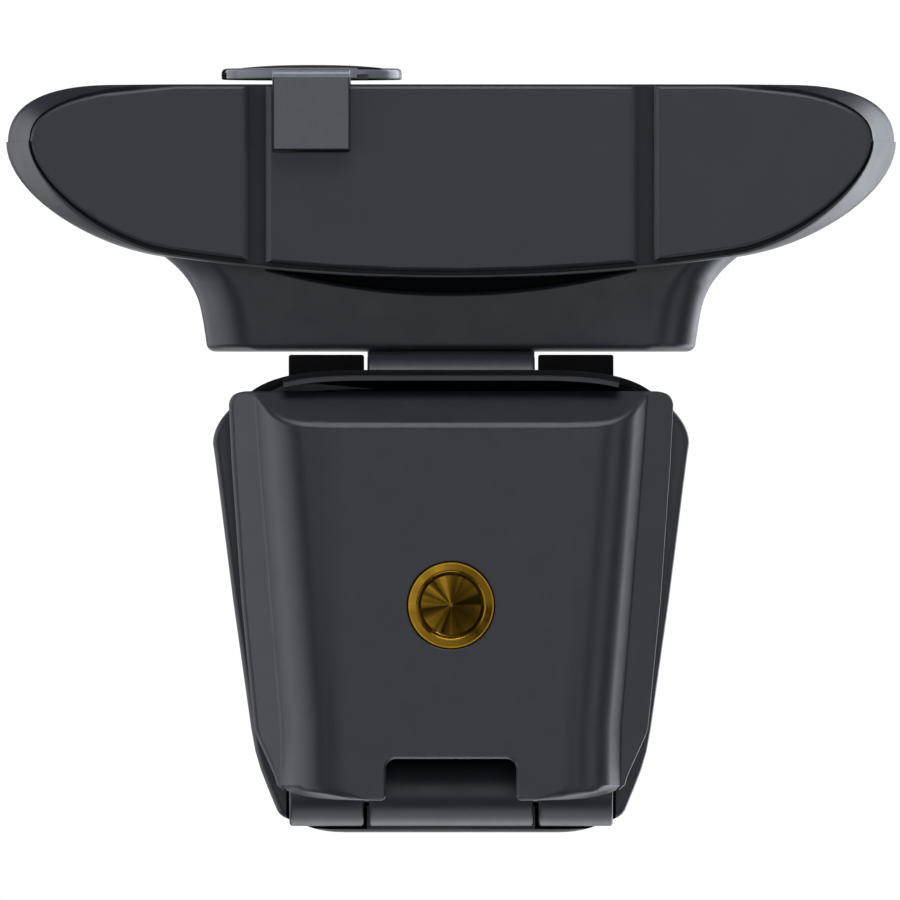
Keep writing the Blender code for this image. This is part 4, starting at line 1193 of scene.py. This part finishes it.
class WEBCAM_OT_tripod_insert(bpy.types.Operator):
    """Brass tripod insert: chamfered mouth, quarter-inch thread and a coned bottom"""
    bl_idname = "webcam.tripod_insert"
    bl_label = "Tripod insert"

    def execute(self, context):
        low, high = box_mm("tripod_insert")
        outer = high[0]
        crest = 2.82         # radius at the thread's ridges
        depth = size("thread_depth")
        pitch = size("thread_pitch")
        start = 0.62
        end = 3.9
        profile = [(0.0, high[2]), (outer - 0.1, high[2]), (outer, high[2] - 0.1)]
        for ring in range(9):
            z = high[2] - 0.4 - ring * 0.42
            profile += [(outer, z), (outer - 0.12, z - 0.1), (outer - 0.12, z - 0.26), (outer, z - 0.36)]
        profile += [(outer, 0.12), (outer - 0.07, low[2]), (3.90, low[2]), (3.84, low[2] + 0.02)]
        profile += [(3.32, low[2] + 0.11), (3.27, low[2] + 0.145), (3.21, low[2] + 0.13),
                    (3.16, low[2] + 0.165), (3.11, low[2] + 0.15), (crest + depth * 0.5 + 0.02, start - 0.4)]
        count = 64
        wall = crest + depth * 0.5
        profile += [(wall, start + (end - start) * i / count) for i in range(count + 1)]
        profile += [(crest - 0.1, end + 0.06), (2.2, end + 0.14), (1.5, end + 0.27), (0.8, end + 0.41),
                    (0.25, end + 0.52), (0.0, end + 0.56)]

        def thread(radius, level, turn):
            if radius != wall:
                return radius
            phase = (level / pitch - turn / (2.0 * math.pi)) % 1.0
            ridge = 1.0 - abs(2.0 * phase - 1.0) * 2.0
            fade = min(1.0, (level - start) / 0.35, (end - level) / 0.3)
            return radius - 0.5 * depth * max(-1.0, min(1.0, ridge * 1.25)) * max(0.0, fade)

        insert = lathe(profile, SOCKET, "Z", 144, wave=thread)
        piece("tripod_insert_turned", insert, brass_turned_with_painted_spokes(), "leg", "tripod_insert", 28.0)
        return {"FINISHED"}


class WEBCAM_OT_inner_finishes(bpy.types.Operator):
    """Finishes of the pieces inside the housings, which keep their own shapes"""
    bl_idname = "webcam.inner_finishes"
    bl_label = "Inner finishes"

    def execute(self, context):
        by_slot = {"steel": steel_zinc_plated, "board": solder_mask, "chip": epoxy_moulded,
                   "clear_plastic": nylon_natural, "lens_glass": glass_coated, "rubber_black": silicone_matt,
                   "inner_grey": abs_fine_etched, "shell_black": abs_spark_eroded,
                   "gloss_black": acrylic_polished, "shutter_grey": polycarbonate_satin, "brass": brass_turned_with_painted_spokes}
        for name, slot in SLOTS.items():
            node = frame["nodes"][name]
            finish = by_slot[slot]()
            # Painted shade: the base plate and the leg cover take the near-black finish.
            if name in ("base_plate", "leg_cover"):
                finish = abs_painted_shade()
            if not node.material_slots:
                node.data.materials.append(finish)
            for holder in node.material_slots:
                holder.material = finish
        return {"FINISHED"}


class WEBCAM_OT_stage(bpy.types.Operator):
    """Camera below the foot, soft boxes, pale surroundings and a pale floor"""
    bl_idname = "webcam.stage"
    bl_label = "Stage"

    def execute(self, context):
        scene = context.scene
        scene.view_settings.view_transform = "Standard"
        self.make_camera(scene)
        self.make_world(scene)
        self.make_floor(scene)
        self.make_lights(scene)
        return {"FINISHED"}

    def make_camera(self, scene):
        camera = bpy.data.cameras.new("camera")
        camera.sensor_width = 36.0
        distance = 3.2
        frame_width = 0.08465
        focus_depth = 0.009
        camera.lens = camera.sensor_width * (distance + focus_depth) / frame_width
        camera.clip_start = 0.01
        camera.clip_end = 6.0
        holder = bpy.data.objects.new("camera", camera)
        scene.collection.objects.link(holder)
        holder.location = (-0.0001, 0.00023, -distance)
        holder.rotation_euler = (math.pi, 0.0, 0.0)
        scene.camera = holder

    def make_world(self, scene):
        world = bpy.data.worlds.new("studio")
        scene.world = world
        world.use_nodes = True
        tree = world.node_tree
        tree.nodes.clear()
        rays = add(tree, "LightPath").outputs["Is Camera Ray"]
        around = add(tree, "Background", {"Color": (0.80, 0.84, 0.92, 1.0), "Strength": 0.06})
        seen = add(tree, "Background", {"Color": (1.0, 1.0, 1.0, 1.0), "Strength": 1.05})
        both = add(tree, "MixShader", {"Fac": rays, 1: around, 2: seen})
        add(tree, "OutputWorld", {"Surface": both})

    def make_floor(self, scene):
        """Pale paper that shows from above and is clear from below."""
        mesh = bpy.data.meshes.new("floor")
        reach = 1.2
        level = -0.0005
        corners = ((-reach, -reach), (reach, -reach), (reach, reach), (-reach, reach))
        mesh.from_pydata([corner + (level,) for corner in corners], [], [(0, 1, 2, 3)])
        floor = bpy.data.objects.new("floor", mesh)
        scene.collection.objects.link(floor)
        material = bpy.data.materials.new("floor_paper_white")
        material.use_nodes = True
        tree = material.node_tree
        shader = tree.nodes["Principled BSDF"]
        connect(tree, shader, {"Base Color": (0.86, 0.86, 0.86, 1.0), "Roughness": 0.8})
        below = add(tree, "NewGeometry").outputs["Backfacing"]
        both = add(tree, "MixShader", {"Fac": below, 1: shader, 2: add(tree, "BsdfTransparent")})
        connect(tree, tree.nodes["Material Output"], {"Surface": both})
        mesh.materials.append(material)
        floor.visible_shadow = False
        floor.visible_diffuse = False
        floor.visible_glossy = False

    def make_lights(self, scene):
        cool = (0.93, 0.95, 1.0)
        fair = (0.95, 0.97, 1.0)
        lights = (
            ("soft_box_left", (-0.70, 0.05, 0.03), 0.80, 0.60, 2.8, cool),
            ("soft_box_left_low", (-0.60, 0.05, -0.37), 0.80, 0.30, 1.0, cool),
            ("soft_box_left_rear", (-0.50, 0.0, 0.50), 0.80, 0.40, 1.2, cool),
            ("soft_box_right", (0.52, 0.0, 0.55), 1.30, 0.45, 6.5, (0.88, 0.92, 1.0)),
            ("soft_box_right_low", (0.60, 0.05, -0.37), 0.80, 0.30, 1.0, cool),
            ("soft_box_below", (0.08, 0.05, -0.95), 0.60, 0.60, 1.5, fair),
            ("soft_box_front", (0.05, -0.62, -0.26), 0.60, 0.40, 3.2, fair),
            ("soft_box_rear", (0.0, 0.62, 0.36), 0.70, 0.50, 2.4, fair),
            ("soft_box_rear_low", (0.12, 0.68, -0.12), 0.50, 0.40, 1.2, fair),
            ("soft_box_top", (0.10, 0.25, 0.70), 0.60, 0.60, 1.0, (1.0, 1.0, 1.0)),
        )
        target = Vector((0.0, 0.0, 0.015))
        for name, place, width, height, power, colour in lights:
            light = bpy.data.lights.new(name, "AREA")
            light.shape = "RECTANGLE"
            light.size = width
            light.size_y = height
            light.energy = power
            light.color = colour
            lamp = bpy.data.objects.new(name, light)
            scene.collection.objects.link(lamp)
            lamp.location = place
            lamp.rotation_euler = (target - Vector(place)).to_track_quat("-Z", "Y").to_euler()


OPERATORS = (
    WEBCAM_OT_stage, WEBCAM_OT_inner_finishes, WEBCAM_OT_rear_shell, WEBCAM_OT_front_bezel,
    WEBCAM_OT_underside_panels, WEBCAM_OT_face_panel, WEBCAM_OT_lens, WEBCAM_OT_shutter, WEBCAM_OT_neck,
    WEBCAM_OT_base_shell, WEBCAM_OT_grip_pads, WEBCAM_OT_leg_shell, WEBCAM_OT_tripod_insert,
)


class WEBCAM_PT_panel(bpy.types.Panel):
    """Buttons and settings for the webcam's pieces"""
    bl_idname = "WEBCAM_PT_panel"
    bl_label = "Webcam"
    bl_space_type = "VIEW_3D"
    bl_region_type = "UI"
    bl_category = "Webcam"

    def draw(self, context):
        column = self.layout.column()
        for operator in OPERATORS:
            column.operator(operator.bl_idname)
        for group in (context.scene.webcam_sizes, context.scene.webcam_colours):
            for name in group.bl_rna.properties.keys():
                if name not in ("rna_type", "name"):
                    column.prop(group, name)


CLASSES = (WebcamSizes, WebcamColours) + OPERATORS + (WEBCAM_PT_panel,)


def register():
    for item in CLASSES:
        bpy.utils.register_class(item)
    bpy.types.Scene.webcam_sizes = PointerProperty(type=WebcamSizes)
    bpy.types.Scene.webcam_colours = PointerProperty(type=WebcamColours)


def unregister():
    del bpy.types.Scene.webcam_colours
    del bpy.types.Scene.webcam_sizes
    for item in reversed(CLASSES):
        bpy.utils.unregister_class(item)


def main():
    register()
    for operator in OPERATORS:
        group, name = operator.bl_idname.split(".")
        result = getattr(getattr(bpy.ops, group), name)()
        if result != {"FINISHED"}:
            raise RuntimeError(operator.bl_label + " did not finish")


if __name__ == "__main__":
    main()
